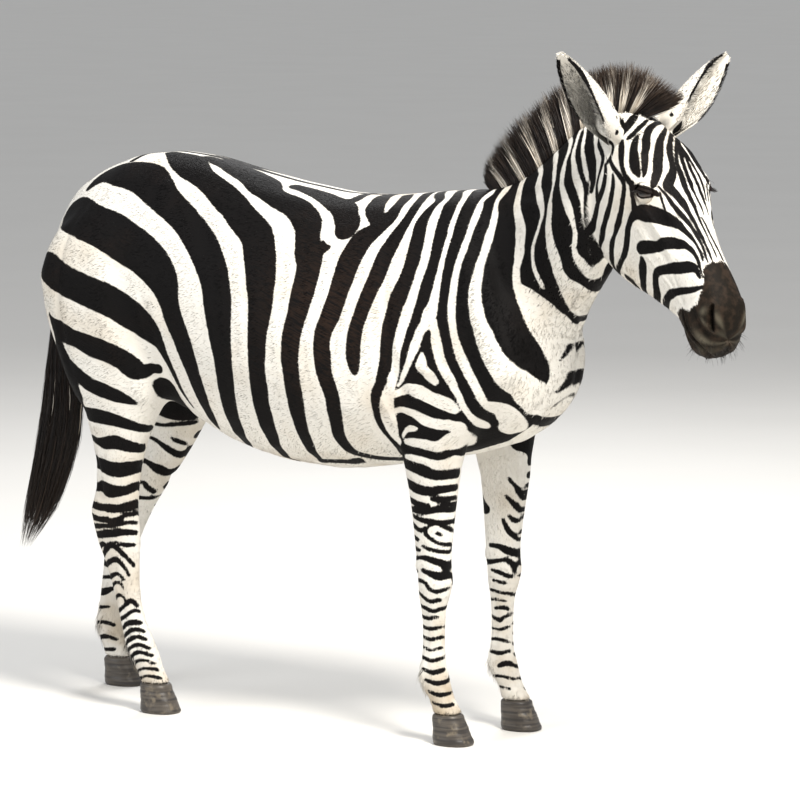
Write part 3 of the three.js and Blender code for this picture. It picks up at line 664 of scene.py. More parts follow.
def body_mark(points):
    """Signed distance in millimetres to the nearest black of the body, negative inside: stripes, with black
    painted shadow in part of the groin and at the top of the inner thighs.
    """
    x, y, z = points.T
    chart = body_chart(points)
    spine = np.abs(y)
    mark = distance_to(chart, TRUNK_STRIPES + HIND_RINGS[:2])
    ahead = x - follow(chart[:, 1], BLACK_AHEAD, 1)[0]
    black = (spine > BREAST_HALF) | (z > 800) | (x > 560)
    mark = np.minimum(mark, np.maximum(np.where(black, -ahead, 40), -40))
    mark = np.maximum(mark, -distance_to(chart, WHITE_STRIPES))
    mark = np.minimum(mark, distance_to(chart, FAR_BREAST))
    mark = np.where((x > -560) & (x < 150), np.minimum(mark, spine - DORSAL_HALF), mark)
    under = (z < 760) & (x > -330) & (x < 420)
    mark = np.where(under, np.minimum(mark, spine - BELLY_HALF), mark)
    for kind, outer, inner, level, reach in LEG_RINGS:
        for side, of_side in (("right", y < 0), ("left", y >= 0)):
            name = f"{kind}_{side}"
            on_leg = np.abs(x - leg_x(name, z)) < np.where(z < 600, 120, reach)
            near = np.flatnonzero(of_side & (z < level + 22) & on_leg)
            share = smoothstep(level + 20, level - 20, z[near])
            rings = rings_of(points[near], name, outer, inner)
            mark[near] = mark[near] * (1 - share) + rings * share
    return mark


def head_mark(points):
    """The left side mirrors the right one, apart from the forehead and the top of the nose."""
    plain = head_chart(points, mirrored=False)
    limit = np.interp(plain[:, 0], (180, 215), (74, 52))
    across = smoothstep(limit + 6, limit - 6, plain[:, 1])
    direct = distance_to(plain, HEAD_STRIPES + FAR_FACE)
    return across * direct + (1 - across) * distance_to(head_chart(points), HEAD_STRIPES) - HEAD_WIDER


def markings(points):
    """What the coat's material reads at each point."""
    share = head_share(points, 5)
    chart = head_chart(points)
    head = share > 0
    mark = body_mark(points)
    mark[head] = mark[head] * (1 - share[head]) + head_mark(points[head]) * share[head]
    muzzle = follow(chart[:, 1], MUZZLE_EDGE, 1)[0] - chart[:, 0]
    nostril = distance_to(chart, NOSTRIL, 60)
    # painted highlights on the bulges of the muzzle, kept off the nostrils' lining
    spots = [pale * hump(chart[:, 0] - a, da) * hump(chart[:, 1] - v, dv) for a, v, da, dv, pale in SNOUT_HIGHLIGHTS]
    for side in SIDES.values():
        s, w, _, gap = eye_gap(points, side)
        rim = gap - np.where(w > 0, UPPER_RIM, LOWER_RIM)
        mark = np.where(np.hypot(s, w) < 60, np.minimum(mark, rim), mark)
    x, _, z = points.T
    flank = hump(x - 130, 160) * hump(z - 960, 160)
    eye_side = hump(chart[:, 0] - 198, 34) * hump(chart[:, 1] + 92, 30)
    dirt = smoothstep(420, 60, z) * 0.8 + smoothstep(720, 620, z) * 0.3 * hump(x - 30, 330)
    return {
        "mark": mark,
        "muzzle": np.where(head, muzzle, FAR_FROM_MUZZLE),
        "olive": head * np.max(spots, 0) * (nostril > 0),
        "pit": head * smoothstep(2, -5, nostril),
        "down": smoothstep(760, 620, z) * (1 - share),
        "face": share,
        "brown": np.clip(flank + 0.6 * eye_side, 0, 1),
        "dirt": np.clip(dirt, 0, 1),
    }


# ---- eyes: their own axes --------------------------------------------------------------------------------

EYE_RADIUS = 21
EYE_CENTRE = (203, 74, -20)  # along the head, aside, above
EYE_TILT = math.radians(38)  # the eye's length against the head's, its front corner upward
OPENING_HALF = 23
UPPER_OPEN, LOWER_OPEN = 4.5, 5.5
UPPER_RIM, LOWER_RIM = 14, 4  # how far the black goes round the opening
LID_THICK = 3.0
LID_REACH = 15  # how far from the opening the lid still lies on the eyeball


def eye_frame(side):
    """Centre of an eyeball, and its axes: towards the front corner, towards the upper lid, outward."""
    along, aside, above = EYE_CENTRE
    out = unit(side * LEFT * 0.94 + ALONG * 0.18 + ABOVE * 0.10)
    first = math.cos(EYE_TILT) * ALONG + math.sin(EYE_TILT) * ABOVE
    first = unit(first - (first @ out) * out)
    return in_head(along, side * aside, above), first, side * np.cross(first, out), out


def opening(s):
    """Upper and lower edge of the eye's opening at each place along it."""
    share = np.clip(1 - (s / OPENING_HALF) ** 2, 0, 1)
    return UPPER_OPEN * share**0.9, -LOWER_OPEN * share**0.8


def eye_gap(points, side):
    """Places in the eye's axes, and the distance to the edge of its opening, zero inside; large far off."""
    centre, first, second, out = eye_frame(side)
    d = points - centre
    s, w, o = d @ first, d @ second, d @ out
    far = (o < 2) | ((d**2).sum(1) > 80**2)
    upper, lower = opening(s)
    beyond = np.maximum(np.abs(s) - OPENING_HALF, 0)
    gap = np.hypot(np.maximum(np.maximum(w - upper, lower - w), 0), beyond)
    return [np.where(far, 1e3, values) for values in (s, w, o, gap)]


def sculpt_eye(points, side):
    """Lays the lids on the eyeball, with a fold over the upper one, and sinks the skin behind the opening."""
    centre, _, _, out = eye_frame(side)
    near = np.flatnonzero((np.linalg.norm(points - centre, axis=1) < 52) & ((points - centre) @ out > 2))
    s, w, o, gap = eye_gap(points[near], side)
    inside = (gap <= 0) & (np.abs(s) < OPENING_HALF)
    radius = EYE_RADIUS + LID_THICK * smoothstep(0, 3, gap) - 1.8 * hump(gap - 8, 2.2) * (w > 0)
    flat = np.hypot(s, w)
    lid_out = np.sqrt(np.maximum(radius**2 - flat**2, 0))
    lay = smoothstep(LID_REACH + 9, LID_REACH - 7, gap) * (flat < radius)
    new = o * (1 - lay) + lid_out * lay
    new = np.where(inside, np.minimum(new, 6), new)
    # brow over the eye, and the hollow under it
    new += 3.5 * hump(w - 24, 9) * hump(s - 2, 26) - 2.0 * hump(w + 25, 9) * hump(s, 24)
    points[near] += (new - o)[:, None] * out


# ---- form ------------------------------------------------------------------------------------------------

# Ridges and grooves as lines on the charts: place along, height or angle, and a depth that may change along the
# line, in millimetres, raised where it is above zero. Each is led by how far it spreads.
BODY_FORMS = [
    (11, "470 1190 -2, 500 1110 -4, 530 1020 -5, 556 940 -5, 575 880 -3"),  # front of the shoulder
    (26, "430 1130 3, 470 1010 5, 520 900 7, 540 850 6"),  # shoulder and point of the shoulder
    (12, "250 1150 -1, 270 1030 -3, 290 920 -4, 300 850 -4, 322 790 -5"),  # behind the shoulder
    (16, "300 905 3, 370 860 5, 430 845 3"),  # muscle over the elbow
    (12, "262 790 3, 280 740 6, 288 700 4"),  # elbow
    (9, "285 690 -5, 330 664 -4, 372 668 -3"),  # crease of the elbow
    (10, "-560 1190 -1, -596 1080 -3, -606 980 -4, -596 880 -4, -575 800 -2"),  # between the thigh's muscles
    (30, "-480 1050 4, -470 930 6, -450 840 4"),  # thigh
    (26, "-640 1110 5, -660 1020 5"),  # buttock
    (24, "-350 1250 6, -345 1200 4"),  # hip
    (13, "-372 1000 -1, -350 900 -4, -330 820 -6, -322 760 -7, -330 700 -6"),  # flank in front of the stifle
    (20, "-395 800 4, -400 750 5"),  # stifle
    (32, "-700 960 -4, -690 900 -13, -672 850 -22, -655 800 -24, -635 750 -20, -608 700 -10"),  # buttock
    (7, "640 925 -2, 622 882 -4, 611 850 -5, 604 822 -5, 597 788 -4, 580 764 -3"),  # breast
    (10, "-585 760 -2, -560 690 -3, -545 620 -4, -532 560 -6, -528 505 -7"),  # before the hock's tendon
    (30, "-250 1190 -5, -210 1120 -5"),  # hollow of the flank
    (11, "740 1130 -3, 700 1060 -5, 660 985 -6, 632 930 -4"),  # groove of the neck's vein
    (14, "520 1235 -2, 610 1255 -4, 700 1310 -4, 760 1350 -2"),  # under the crest
    (22, "640 1180 4, 700 1210 3, 750 1230 2"),  # muscle of the neck
]
RIBS = [(x, 1050 - abs(x - 60) * 0.3) for x in range(-180, 240, 46)]
HEAD_FORMS = [
    (34, "-10 0 12, 30 0 13, 60 0 11, 100 0 8, 140 0 4"),  # between the ears
    (22, "372 -300 3, 400 -300 7, 430 -300 8, 455 -290 5"),  # under the corner of the mouth
    (20, "475 -300 4, 500 -290 5, 530 -290 4"),  # under the chin
    (7, "228 -112 2, 255 -110 4, 290 -112 4, 325 -117 3, 345 -122 1"),  # crest of the cheekbone
    (13, "245 -84 -2, 290 -84 -4, 340 -86 -3"),  # hollow beside the nose
    (14, "255 -140 -2, 300 -142 -4, 345 -146 -3"),  # hollow under the crest
    (40, "110 -170 3, 135 -195 5, 150 -220 4"),  # jaw muscle
    (9, "198 -140 -1, 214 -180 -3, 210 -220 -4, 190 -258 -4"),  # front of the jaw muscle
    (13, "140 -62 -3, 156 -64 -6, 170 -66 -3"),  # hollow over the eye
    (8, "96 -100 2, 130 -106 3, 160 -104 3, 180 -96 2"),  # arch behind the eye
    (11, "20 -40 3, 50 -30 2, 90 -20 1"),  # edge of the brow
    (8, "300 -190 1, 345 -196 2, 395 -200 2, 430 -204 1"),  # cheek muscle
    (7, "372 -152 -1, 410 -172 -2, 440 -190 -2"),  # fold behind the corner of the mouth
    (14, "505 -58 3, 522 -68 4, 538 -82 3"),  # wing of the nostril
    (9, "487 -92 2, 495 -110 3, 512 -130 3, 532 -138 2"),  # its lower rim
    (9, "470 -150 -1, 500 -156 -3, 528 -158 -3"),  # over the upper lip
    (14, "478 -186 2, 510 -190 4, 540 -196 3"),  # upper lip
    (15, "490 -250 2, 520 -262 4, 532 -300 4"),  # chin
    (16, "566 20 -6, 566 -60 -7, 566 -130 -6, 566 -190 -3"),  # end of the nose
    (10, "120 -314 -4, 200 -314 -8, 300 -314 -8, 380 -314 -5"),  # between the jaws
]
# Leg, height, place from the leg's centre line, spread up, spread along, lift.
LEG_FORMS = [
    ("front", 368, 26, 26, 12, 2.5),  # knee
    ("front", 404, -30, 14, 10, 4.0),  # bone at the back of the knee
    ("front", 150, -24, 20, 12, 3.5),  # fetlock
    ("hind", 150, -24, 20, 12, 3.5),
    ("hind", 470, -52, 26, 13, 3.5),  # point of the hock
    ("hind", 420, 6, 24, 20, 3.0),  # bone inside the hock
]
TENDON_TOP, TENDON_FOOT = 330, 150  # heights between which the cannon bone and its tendons part


def raised(chart, forms):
    lift = np.zeros(len(chart))
    for spread, text in forms:
        line = rows(text)
        fine = rounded(line, 2)
        reach = 2.4 * spread
        near = places_near(chart, fine, reach)
        gap = distance_to(chart[near], [line], reach, False)
        gaps = np.hypot(*(chart[near][:, None] - fine[None, :, :2]).transpose(2, 0, 1))
        weight = np.exp(-((gaps / spread) ** 2)) + 1e-12
        depth = (weight * fine[:, 2]).sum(1) / weight.sum(1)
        lift[near] += depth * hump(gap, spread)
    return lift


def form_body(points, normals):
    x, y, z = points.T
    lift = raised(body_chart(points), BODY_FORMS) * (np.abs(y) > 6)
    for rib, foot in RIBS:
        band = hump(x - rib + 0.16 * (z - 950), 12) * smoothstep(foot - 300, foot - 120, z)
        lift += 0.8 * band * smoothstep(foot + 130, foot, z)
    middle = np.interp(x, [560, 632, 700, 772], [0, -26, -62, -96])
    front = smoothstep(545, 600, x) * smoothstep(790, 850, z) * smoothstep(1010, 930, z)
    lift -= 9 * hump(y - middle * smoothstep(900, 1000, z), 15) * front
    tendon = smoothstep(TENDON_FOOT, TENDON_FOOT + 30, z) * smoothstep(TENDON_TOP + 30, TENDON_TOP - 20, z)
    for name in LEG_LINES:
        ahead = x - leg_x(name, z)
        bones = -2.6 * tendon * hump(ahead + 8, 6)
        for kind, height, offset, up, along, amount in LEG_FORMS:
            bones += amount * hump(z - height, up) * hump(ahead - offset, along) * name.startswith(kind)
        lift += bones * own_leg(points, name)
    return points + (lift * (1 - head_share(points)))[:, None] * normals


def form_head(points, normals):
    chart = head_chart(points)
    lift = raised(chart, HEAD_FORMS)
    mouth = distance_to(chart, MOUTH, 30, False)
    lift += smoothstep(445, 470, chart[:, 0]) * (2.2 * hump(mouth - 9, 6) - 6.5 * hump(mouth, 2.6))
    nostril = distance_to(chart, NOSTRIL, 30)
    lift += 3.0 * hump(nostril - 5, 5) - 15 * smoothstep(2.5, -5, nostril)
    return points + (lift * head_share(points, 6))[:, None] * normals


# ---- ears ------------------------------------------------------------------------------------------------

EAR_ROOT = (20, 74, -18)  # along the head, aside, above
EAR_AXIS = {"right": (-0.46, 0.745, 0.555), "left": (-0.48, 0.78, 0.5)}
EAR_LENGTH = {"right": 230, "left": 217}
EAR_TURN = {"right": 80, "left": 20}  # degrees that the ear's mouth looks outward from ahead
EAR_WALL = 3.6
EAR_SHADE = {"right": 0.7, "left": 0.3}  # how dark the hollow of each ear is painted: its dark bare skin, with painted shade that is heavier in the right ear
# Share of the ear's length, half width, half angle that the ear wraps round.
EAR_PROFILE = rows("""
-0.16 26 150, 0 32 150, 0.14 37 134, 0.3 41 118, 0.48 41 104, 0.66 36 94, 0.82 27 84, 0.93 16 74, 1 7 60
""")
# Brown spots on the root of the ear's back: share of its length, turn towards the front edge, radius.
EAR_SPOTS = rows("""
0.34 0.16 8, 0.29 0.3 7, 0.22 0.42 6, 0.38 -0.02 5, 0.13 0.52 6, 0.04 0.45 8, 0.02 0.75 7, 0.12 0.05 6,
-0.03 0.2 8
""")


def ear_axes(name):
    """Root, axis, sideways and mouth directions of an ear."""
    side = SIDES[name]
    along, aside, above = EAR_ROOT
    backward, outward, upward = EAR_AXIS[name]
    axis = unit(backward * ALONG + side * outward * LEFT + upward * ABOVE)
    turn = math.radians(EAR_TURN[name])
    ahead = math.cos(PITCH) * ALONG + math.sin(PITCH) * ABOVE
    mouth = math.cos(turn) * ahead + math.sin(turn) * side * LEFT
    mouth = unit(mouth - (mouth @ axis) * axis)
    return in_head(along, side * aside, above), axis, np.cross(axis, mouth), mouth


def ear_surface(name, share, turn, inset):
    """Points of an ear's outer face, or its inner one where inset is the wall, at shares of its length."""
    root, axis, sideways, mouth = ear_axes(name)
    half, wrap = follow(share, EAR_PROFILE, 1, 2)
    angle = turn * np.radians(wrap)
    radius = half - inset
    aside = np.outer(radius * np.sin(angle), sideways)
    ahead = np.outer(0.45 * half - radius * np.cos(angle), mouth)
    return root + np.outer(share * EAR_LENGTH[name], axis) + aside + ahead


def ear_shell(name, lengthways=64, round_it=44):
    """Points, quads, and a note for each point: share of the length, turn, and 1 on the inner face."""
    shares = np.linspace(-0.14, 0.992, lengthways)
    turns = np.linspace(-1, 1, round_it)
    s, t = (g.ravel() for g in np.meshgrid(shares, turns, indexing="ij"))
    edge = smoothstep(1.0, 0.86, np.abs(t)) * smoothstep(1.0, 0.93, s)
    outer = ear_surface(name, s, t, 1.0 + 0.9 * (1 - edge))
    inner = ear_surface(name, s, t, 1.0 + EAR_WALL * (0.35 + 0.65 * edge))
    folds = 1.6 * np.sin(t * 9) * np.sin(np.clip(s, 0, 1) * math.pi)
    inner += np.outer(folds * edge, ear_axes(name)[3])
    n = len(s)
    grid = np.arange(n).reshape(lengthways, round_it)

    def wall(a, b, c, d):
        return np.stack([a, b, c, d], -1).reshape(-1, 4)

    sheet = wall(grid[:-1, :-1], grid[:-1, 1:], grid[1:, 1:], grid[1:, :-1])
    left, right, foot, tip = grid[:, 0], grid[:, -1], grid[0], grid[-1]
    quads = np.vstack(
        [
            sheet,
            sheet[:, ::-1] + n,
            wall(left[:-1], left[1:], left[1:] + n, left[:-1] + n),
            wall(right[:-1], right[:-1] + n, right[1:] + n, right[1:]),
            wall(foot[:-1], foot[:-1] + n, foot[1:] + n, foot[1:]),
            wall(tip[:-1], tip[1:], tip[1:] + n, tip[:-1] + n),
        ]
    )
    points = np.vstack([outer, inner])
    a, b, c = points[halves(quads).T]
    if np.einsum("ij,ij->i", a, np.cross(b, c)).sum() < 0:
        quads = quads[:, ::-1]
    return points, quads, np.c_[np.tile([s, t], 2).T, np.repeat([0, 1], n)]


def ear_mark(notes, name):
    """Black rims and tip band, white tip, and the white back with its spots."""
    share, turn, inner = notes.T
    half, wrap = follow(share, EAR_PROFILE, 1, 2)
    round_it = np.radians(wrap) * half
    from_edge = (1 - np.abs(turn)) * round_it
    rim = np.maximum(from_edge - 4.5, (0.22 - share) * 60)
    back = np.maximum(from_edge - 4 - 13 * hump(share - 0.78, 0.15), (0.2 - share) * 60)
    for along, place, radius in EAR_SPOTS:
        gap = np.hypot((share - along) * EAR_LENGTH[name], (-SIDES[name] * turn - place) * round_it)
        back = np.minimum(back, gap - radius * 0.8)
    return np.where(share > 0.93, 12, np.where(inner > 0.5, rim, back))


def ear_markings(points, notes, name):
    """The skin's markings on an ear, which has no muzzle or nostril."""
    marks = markings(points)
    none = np.zeros(len(points))
    marks.update(mark=ear_mark(notes, name), muzzle=none + FAR_FROM_MUZZLE, olive=none, pit=none)
    return marks


# ---- the skin --------------------------------------------------------------------------------------------

FLESH = ["trunk", "neck", "head", *(f"leg_{name}" for name in LEG_LINES)]
VOXEL = 6.0
SMOOTH_ROUNDS = 34
COAT_DEPTH = 2.2
# The tail's flesh: places on its axis, half size fore and aft, half size across.
DOCK = rows("""
-625 0 1215 24 24, -668 0 1178 25 24, -700 0 1120 22 21, -720 0 1050 19 19, -732 0 980 17 16,
-739 0 910 15 14, -744 0 850 12 12, -746 0 810 7 7
""")
EAR_BASE = (34, 30, 36)  # half sizes of the flesh round an ear's root


def flesh_shells():
    """Points and triangles of all the closed shells that the skin goes round."""
    shells = []
    for name in [*FLESH, "eye_right", "eye_left"]:
        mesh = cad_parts[name].data
        shells.append((read_points(mesh), read_triangles(mesh)))
    shells.append(tube(DOCK))
    for name in SIDES:
        root, axis, sideways, mouth = ear_axes(name)
        points, triangles = ball(16, 24)
        points = root + 8 * axis + 6 * mouth + points * EAR_BASE @ np.array([sideways, mouth, axis])
        shells.append((points, triangles))
    starts = np.cumsum([0] + [len(p) for p, _ in shells[:-1]])
    return np.vstack([p for p, _ in shells]), np.vstack([t + s for (_, t), s in zip(shells, starts)])


def refine(mesh, wanted):
    """Cuts the faces whose middle passes the test into four."""
    work = bmesh.new()
    work.from_mesh(mesh)
    work.faces.ensure_lookup_table()
    middles = from_row(np.array([f.calc_center_median()[:] for f in work.faces]))
    edges = {e for i in np.flatnonzero(wanted(middles)) for e in work.faces[i].edges}
    bmesh.ops.subdivide_edges(work, edges=list(edges), cuts=1, use_grid_fill=True)
    work.to_mesh(mesh)
    work.free()


def near_eye(points, reach):
    gaps = [np.linalg.norm(points - eye_frame(side)[0], axis=1) for side in SIDES.values()]
    return np.minimum(*gaps) < reach


def on_muzzle(points):
    return (head_share(points) > 0.5) & (head_axes(points)[0] > 440)


def blur_strength(points):
    """Full on the broad trunk, little on the head, the legs and the tail."""
    x, _, z = points.T
    strength = 0.10 + 0.90 * smoothstep(640, 800, z)
    strength = np.where((x > 420) & (z > 900), 0.55, strength)
    strength = np.where(x < -690, 0.15, strength)
    head = head_share(points, 40)
    return strength * (1 - head) + 0.09 * head


def body_mesh():
    """The flesh as one even mesh, finer on the head and finest at the eyes."""
    points, quads = remeshed(*flesh_shells(), VOXEL)
    mesh = bpy.data.meshes.new("body")
    mesh.from_pydata(to_row(points).tolist(), [], quads.tolist())
    points = smoothed(points, read_edges(mesh), SMOOTH_ROUNDS, blur_strength(points))
    mesh.vertices.foreach_set("co", to_row(points).astype(np.float32).ravel())
    mesh.update()
    refine(mesh, lambda p: head_share(p) > 0.05)
    refine(mesh, lambda p: near_eye(p, 44) | on_muzzle(p))
    refine(mesh, lambda p: near_eye(p, 30))
    return mesh


def make_skin(material):
    """The skin's object, and the hide that the coat grows from."""
    mesh = body_mesh()
    points, triangles, edges = read_points(mesh), read_triangles(mesh), read_edges(mesh)
    points = smoothed(points, edges, 6, 0.9 * head_share(points))
    normals = normals_of(points, triangles)
    depth = COAT_DEPTH * (1 - 0.5 * head_share(points)) * smoothstep(90, 300, points[:, 2])
    points = points - (0.4 + depth)[:, None] * normals
    points = form_body(points, normals)
    points = form_head(points, normals)
    for side in SIDES.values():
        sculpt_eye(points, side)
    points = smoothed(points, edges, 1, 0.5)
    count, marks, faces = len(points), markings(points), read_faces(mesh)
    bpy.data.meshes.remove(mesh)
    for name in SIDES:
        ear, quads, notes = ear_shell(name)
        share, turn, inner = notes.T
        extra = ear_markings(ear, notes, name)
        extra["olive"] = inner * smoothstep(0.75, 0.2, share) * 0.4
        # painted shade deep in the ear's hollow and at its root, over the dark bare skin; heavier in the right
        # ear
        deep = smoothstep(0.75, 0.25, share) * hump(turn, 0.75) * EAR_SHADE[name]
        extra["pit"] = inner * np.maximum(smoothstep(0.16, -0.04, share) * 0.8, deep)
        faces[4] = np.vstack([faces[4], quads + len(points)])
        points = np.vstack([points, ear])
        marks = {key: np.r_[marks[key], extra[key]] for key in marks}
    skin = new_piece("skin", points, list(faces.values()), material)
    for key, values in marks.items():
        store(skin.data, key, values)
    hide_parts(*FLESH, "ear_right", "ear_left")
    return Hide(skin.data, points, marks, count)


# ---- materials -------------------------------------------------------------------------------------------


class Shader:
    """A material with a Principled surface, and short ways to add nodes to it."""

    def __init__(self, name, **uniform):
        self.material = bpy.data.materials.new(name)
        self.material.use_nodes = True
        self.tree = self.material.node_tree
        self.surface = self.tree.nodes["Principled BSDF"]
        for socket, value in uniform.items():
            self.surface.inputs[socket.replace("_", " ")].default_value = value

    def node(self, kind, settings=None, **inputs):
        node = self.tree.nodes.new("ShaderNode" + kind)
        for key, value in (settings or {}).items():
            setattr(node, key, value)
        for key, value in inputs.items():
            self.feed(node.inputs[key.replace("_", " ")], value)
        return node

    def feed(self, socket, value):
        if isinstance(value, bpy.types.NodeSocket):
            self.tree.links.new(value, socket)
        elif socket.type == "RGBA":
            socket.default_value = (*value, 1.0)
        else:
            socket.default_value = value

    def read(self, name):
        return self.node("Attribute", {"attribute_name": name}).outputs["Fac"]

    def noise(self, scale, detail=2.0, vector=None):
        vector = vector or self.node("TexCoord").outputs["Object"]
        return self.node("TexNoise", Scale=scale, Detail=detail, Vector=vector).outputs["Fac"]

    def math(self, kind, a, b=0.0, c=0.0):
        made = self.node("Math", {"operation": kind})
        for socket, value in zip(made.inputs, (a, b, c)):
            self.feed(socket, value)
        return made.outputs[0]

    def blend(self, share, a, b):
        """a where share is 0 and b where it is 1."""
        return self.math("MULTIPLY_ADD", self.math("SUBTRACT", b, a), share, a)

    def ramp(self, value, low, high, to_high=1.0, kind="SMOOTHSTEP"):
        made = self.node("MapRange", {"interpolation_type": kind}, Value=value)
        for name, v in (("From Min", low), ("From Max", high), ("To Max", to_high)):
            made.inputs[name].default_value = v
        return made.outputs["Result"]

    def mix(self, share, a, b):
        made = self.node("Mix", {"data_type": "RGBA"})
        for number, value in ((0, share), (6, a), (7, b)):
            self.feed(made.inputs[number], value)
        return made.outputs[2]

    def streaks(self, scale, turn=(0, 0, 0), detail=2.0):
        """Noise at a scale for each of the object's axes, turned by Euler angles, to run along one of them."""
        turned = self.node("VectorRotate", {"rotation_type": "EULER_XYZ"}, Rotation=turn)
        self.feed(turned.inputs["Vector"], self.node("TexCoord").outputs["Object"])
        scaled = self.node("VectorMath", {"operation": "MULTIPLY"})
        self.feed(scaled.inputs[0], turned.outputs[0])
        self.feed(scaled.inputs[1], scale)
        return self.noise(1.0, detail, scaled.outputs[0])

    def bump(self, height, strength, distance):
        made = self.node("Bump", Strength=strength, Distance=distance, Height=height)
        self.feed(self.surface.inputs["Normal"], made.outputs["Normal"])

    def paint(self, value):
        self.feed(self.surface.inputs["Base Color"], value)
        return self.material


WHITE, CREAM, DUSTY = (0.73, 0.71, 0.66), (0.62, 0.57, 0.49), (0.38, 0.30, 0.20)
BLACK, BROWN_BLACK = (0.005, 0.0045, 0.0045), (0.022, 0.013, 0.009)
# the olive-grey is used for the painted highlights on the muzzle and for the real olive tint inside the ears
MUZZLE, MUZZLE_LIGHT, OLIVE_AND_HIGHLIGHT = (0.009, 0.007, 0.005), (0.024, 0.016, 0.011), (0.13, 0.115, 0.085)
# the dark of the nostrils' lining, and of the ears' bare skin with painted shade in their hollows
BARE_SKIN_AND_SHADE = (0.004, 0.003, 0.003)
HAIR_PALE, HAIR_CREAM = (0.68, 0.63, 0.56), (0.50, 0.43, 0.34)
HAIR_BLACK, HAIR_BROWN = (0.006, 0.005, 0.005), (0.022, 0.013, 0.009)
TIP_DARK, TIP_BROWN = (0.012, 0.008, 0.006), (0.042, 0.026, 0.016)
IRIS_BROWN, IRIS_DARK, PUPIL, EYE_RIM = (
    (0.045, 0.018, 0.007), (0.012, 0.005, 0.003), (0.002, 0.002, 0.003), (0.035, 0.022, 0.016)
)
HORN_DARK, HORN_LIGHT, HORN_WORN, HORN_FIBRE = (
    (0.028, 0.024, 0.021), (0.085, 0.072, 0.058), (0.17, 0.14, 0.10), (0.04, 0.034, 0.03)
)
HAIR_LONG, HAIR_FINE = 26, 330  # noise scales along and across the lie of the hair, per metre
RUMP_SLOPE = math.radians(-22)  # the lie of the body's hair against the level


def hair_streaks(shader):
    """Fine streaks that run with the coat: backward on the body, down the legs, up the face."""
    body = shader.streaks((HAIR_LONG, HAIR_FINE, HAIR_FINE), (0, RUMP_SLOPE, 0))
    legs = shader.streaks((HAIR_FINE, HAIR_FINE, HAIR_LONG * 1.6))
    face = shader.streaks((HAIR_LONG * 1.8, HAIR_FINE * 1.5, HAIR_FINE * 1.5), (0, -PITCH, 0))
    return shader.blend(shader.read("face"), shader.blend(shader.read("down"), body, legs), face)


def coat_material(name, bumpy):
    shader = Shader(name, Roughness=0.6, Specular_IOR_Level=0.06)
    streaks = hair_streaks(shader)
    patches = shader.noise(7, 3.0)
    edge = shader.math("MULTIPLY_ADD", streaks, 5.0, shader.read("mark"))
    edge = shader.math("MULTIPLY_ADD", shader.noise(34, 1.0), 3.0, edge)
    dirt = shader.math("MULTIPLY", shader.read("dirt"), shader.ramp(patches, 0.35, 0.7))
    fine = shader.ramp(streaks, 0.3, 0.7, 1.0, "LINEAR")
    pale = shader.mix(shader.ramp(patches, 0.45, 0.75), WHITE, CREAM)
    pale = shader.mix(shader.math("MULTIPLY", fine, 0.32), pale, CREAM)
    pale = shader.mix(dirt, pale, DUSTY)
    brown = shader.math("MULTIPLY_ADD", shader.read("brown"), 0.8, shader.ramp(patches, 0.5, 0.9, 0.35))
    dark = shader.mix(shader.math("MULTIPLY", brown, shader.ramp(streaks, 0.35, 0.6)), BLACK, BROWN_BLACK)
    coat = shader.mix(shader.ramp(edge, 2.6, 5.4), dark, pale)
    snout = shader.math("MULTIPLY_ADD", streaks, 22.0, shader.read("muzzle"))
    snout = shader.math("MULTIPLY_ADD", shader.noise(55, 2.0), 16.0, snout)
    nose = shader.mix(shader.ramp(shader.noise(60, 3.0), 0.4, 0.7), MUZZLE, MUZZLE_LIGHT)
    # olive-grey painted highlights on the muzzle, and the olive tint inside the ears
    nose = shader.mix(shader.read("olive"), nose, OLIVE_AND_HIGHLIGHT)
    coat = shader.mix(shader.ramp(snout, 17.0, 22.0), nose, coat)
    # the nostrils' dark lining, and in the ears their dark bare skin with painted shade
    coat = shader.mix(shader.read("pit"), coat, BARE_SKIN_AND_SHADE)
    if bumpy:
        shader.bump(shader.math("MULTIPLY_ADD", shader.noise(420, 2.0), 0.35, streaks), 0.55, 0.0016)
    return shader.paint(coat)


def eye_material():
    """Rings round the middle of the pupil, which is wider than it is high."""
    shader = Shader("eye", Roughness=0.08, Coat_Weight=1.0, Coat_Roughness=0.02, IOR=1.4)
    gaze = shader.node("SeparateXYZ")
    shader.feed(gaze.inputs[0], shader.node("Attribute", {"attribute_name": "gaze"}).outputs["Vector"])
    up = shader.math("POWER", gaze.outputs[1], 2)

    def distance(along):
        return shader.math("SQRT", shader.math("MULTIPLY_ADD", along, along, up))

    pupil = distance(shader.math("MULTIPLY", gaze.outputs[0], 0.56))
    iris = shader.mix(shader.noise(900, 3.0), IRIS_BROWN, IRIS_DARK)
    inner = shader.mix(shader.ramp(pupil, 3.8, 5.0), PUPIL, iris)
    return shader.paint(shader.mix(shader.ramp(distance(gaze.outputs[0]), 13.5, 15.0), inner, EYE_RIM))


def hoof_material():
    shader = Shader("hoof_horn", Roughness=0.42, Specular_IOR_Level=0.4)
    fibres = shader.streaks((520, 520, 30), detail=3.0)
    rings = shader.streaks((9, 9, 170))
    base = shader.mix(shader.ramp(rings, 0.35, 0.65), HORN_DARK, HORN_LIGHT)
    worn = shader.mix(shader.ramp(shader.noise(45, 3.0), 0.55, 0.75), base, HORN_WORN)
    shader.bump(shader.math("MULTIPLY_ADD", fibres, 0.4, rings), 0.6, 0.0012)
    return shader.paint(shader.mix(shader.math("MULTIPLY", fibres, 0.3), worn, HORN_FIBRE))


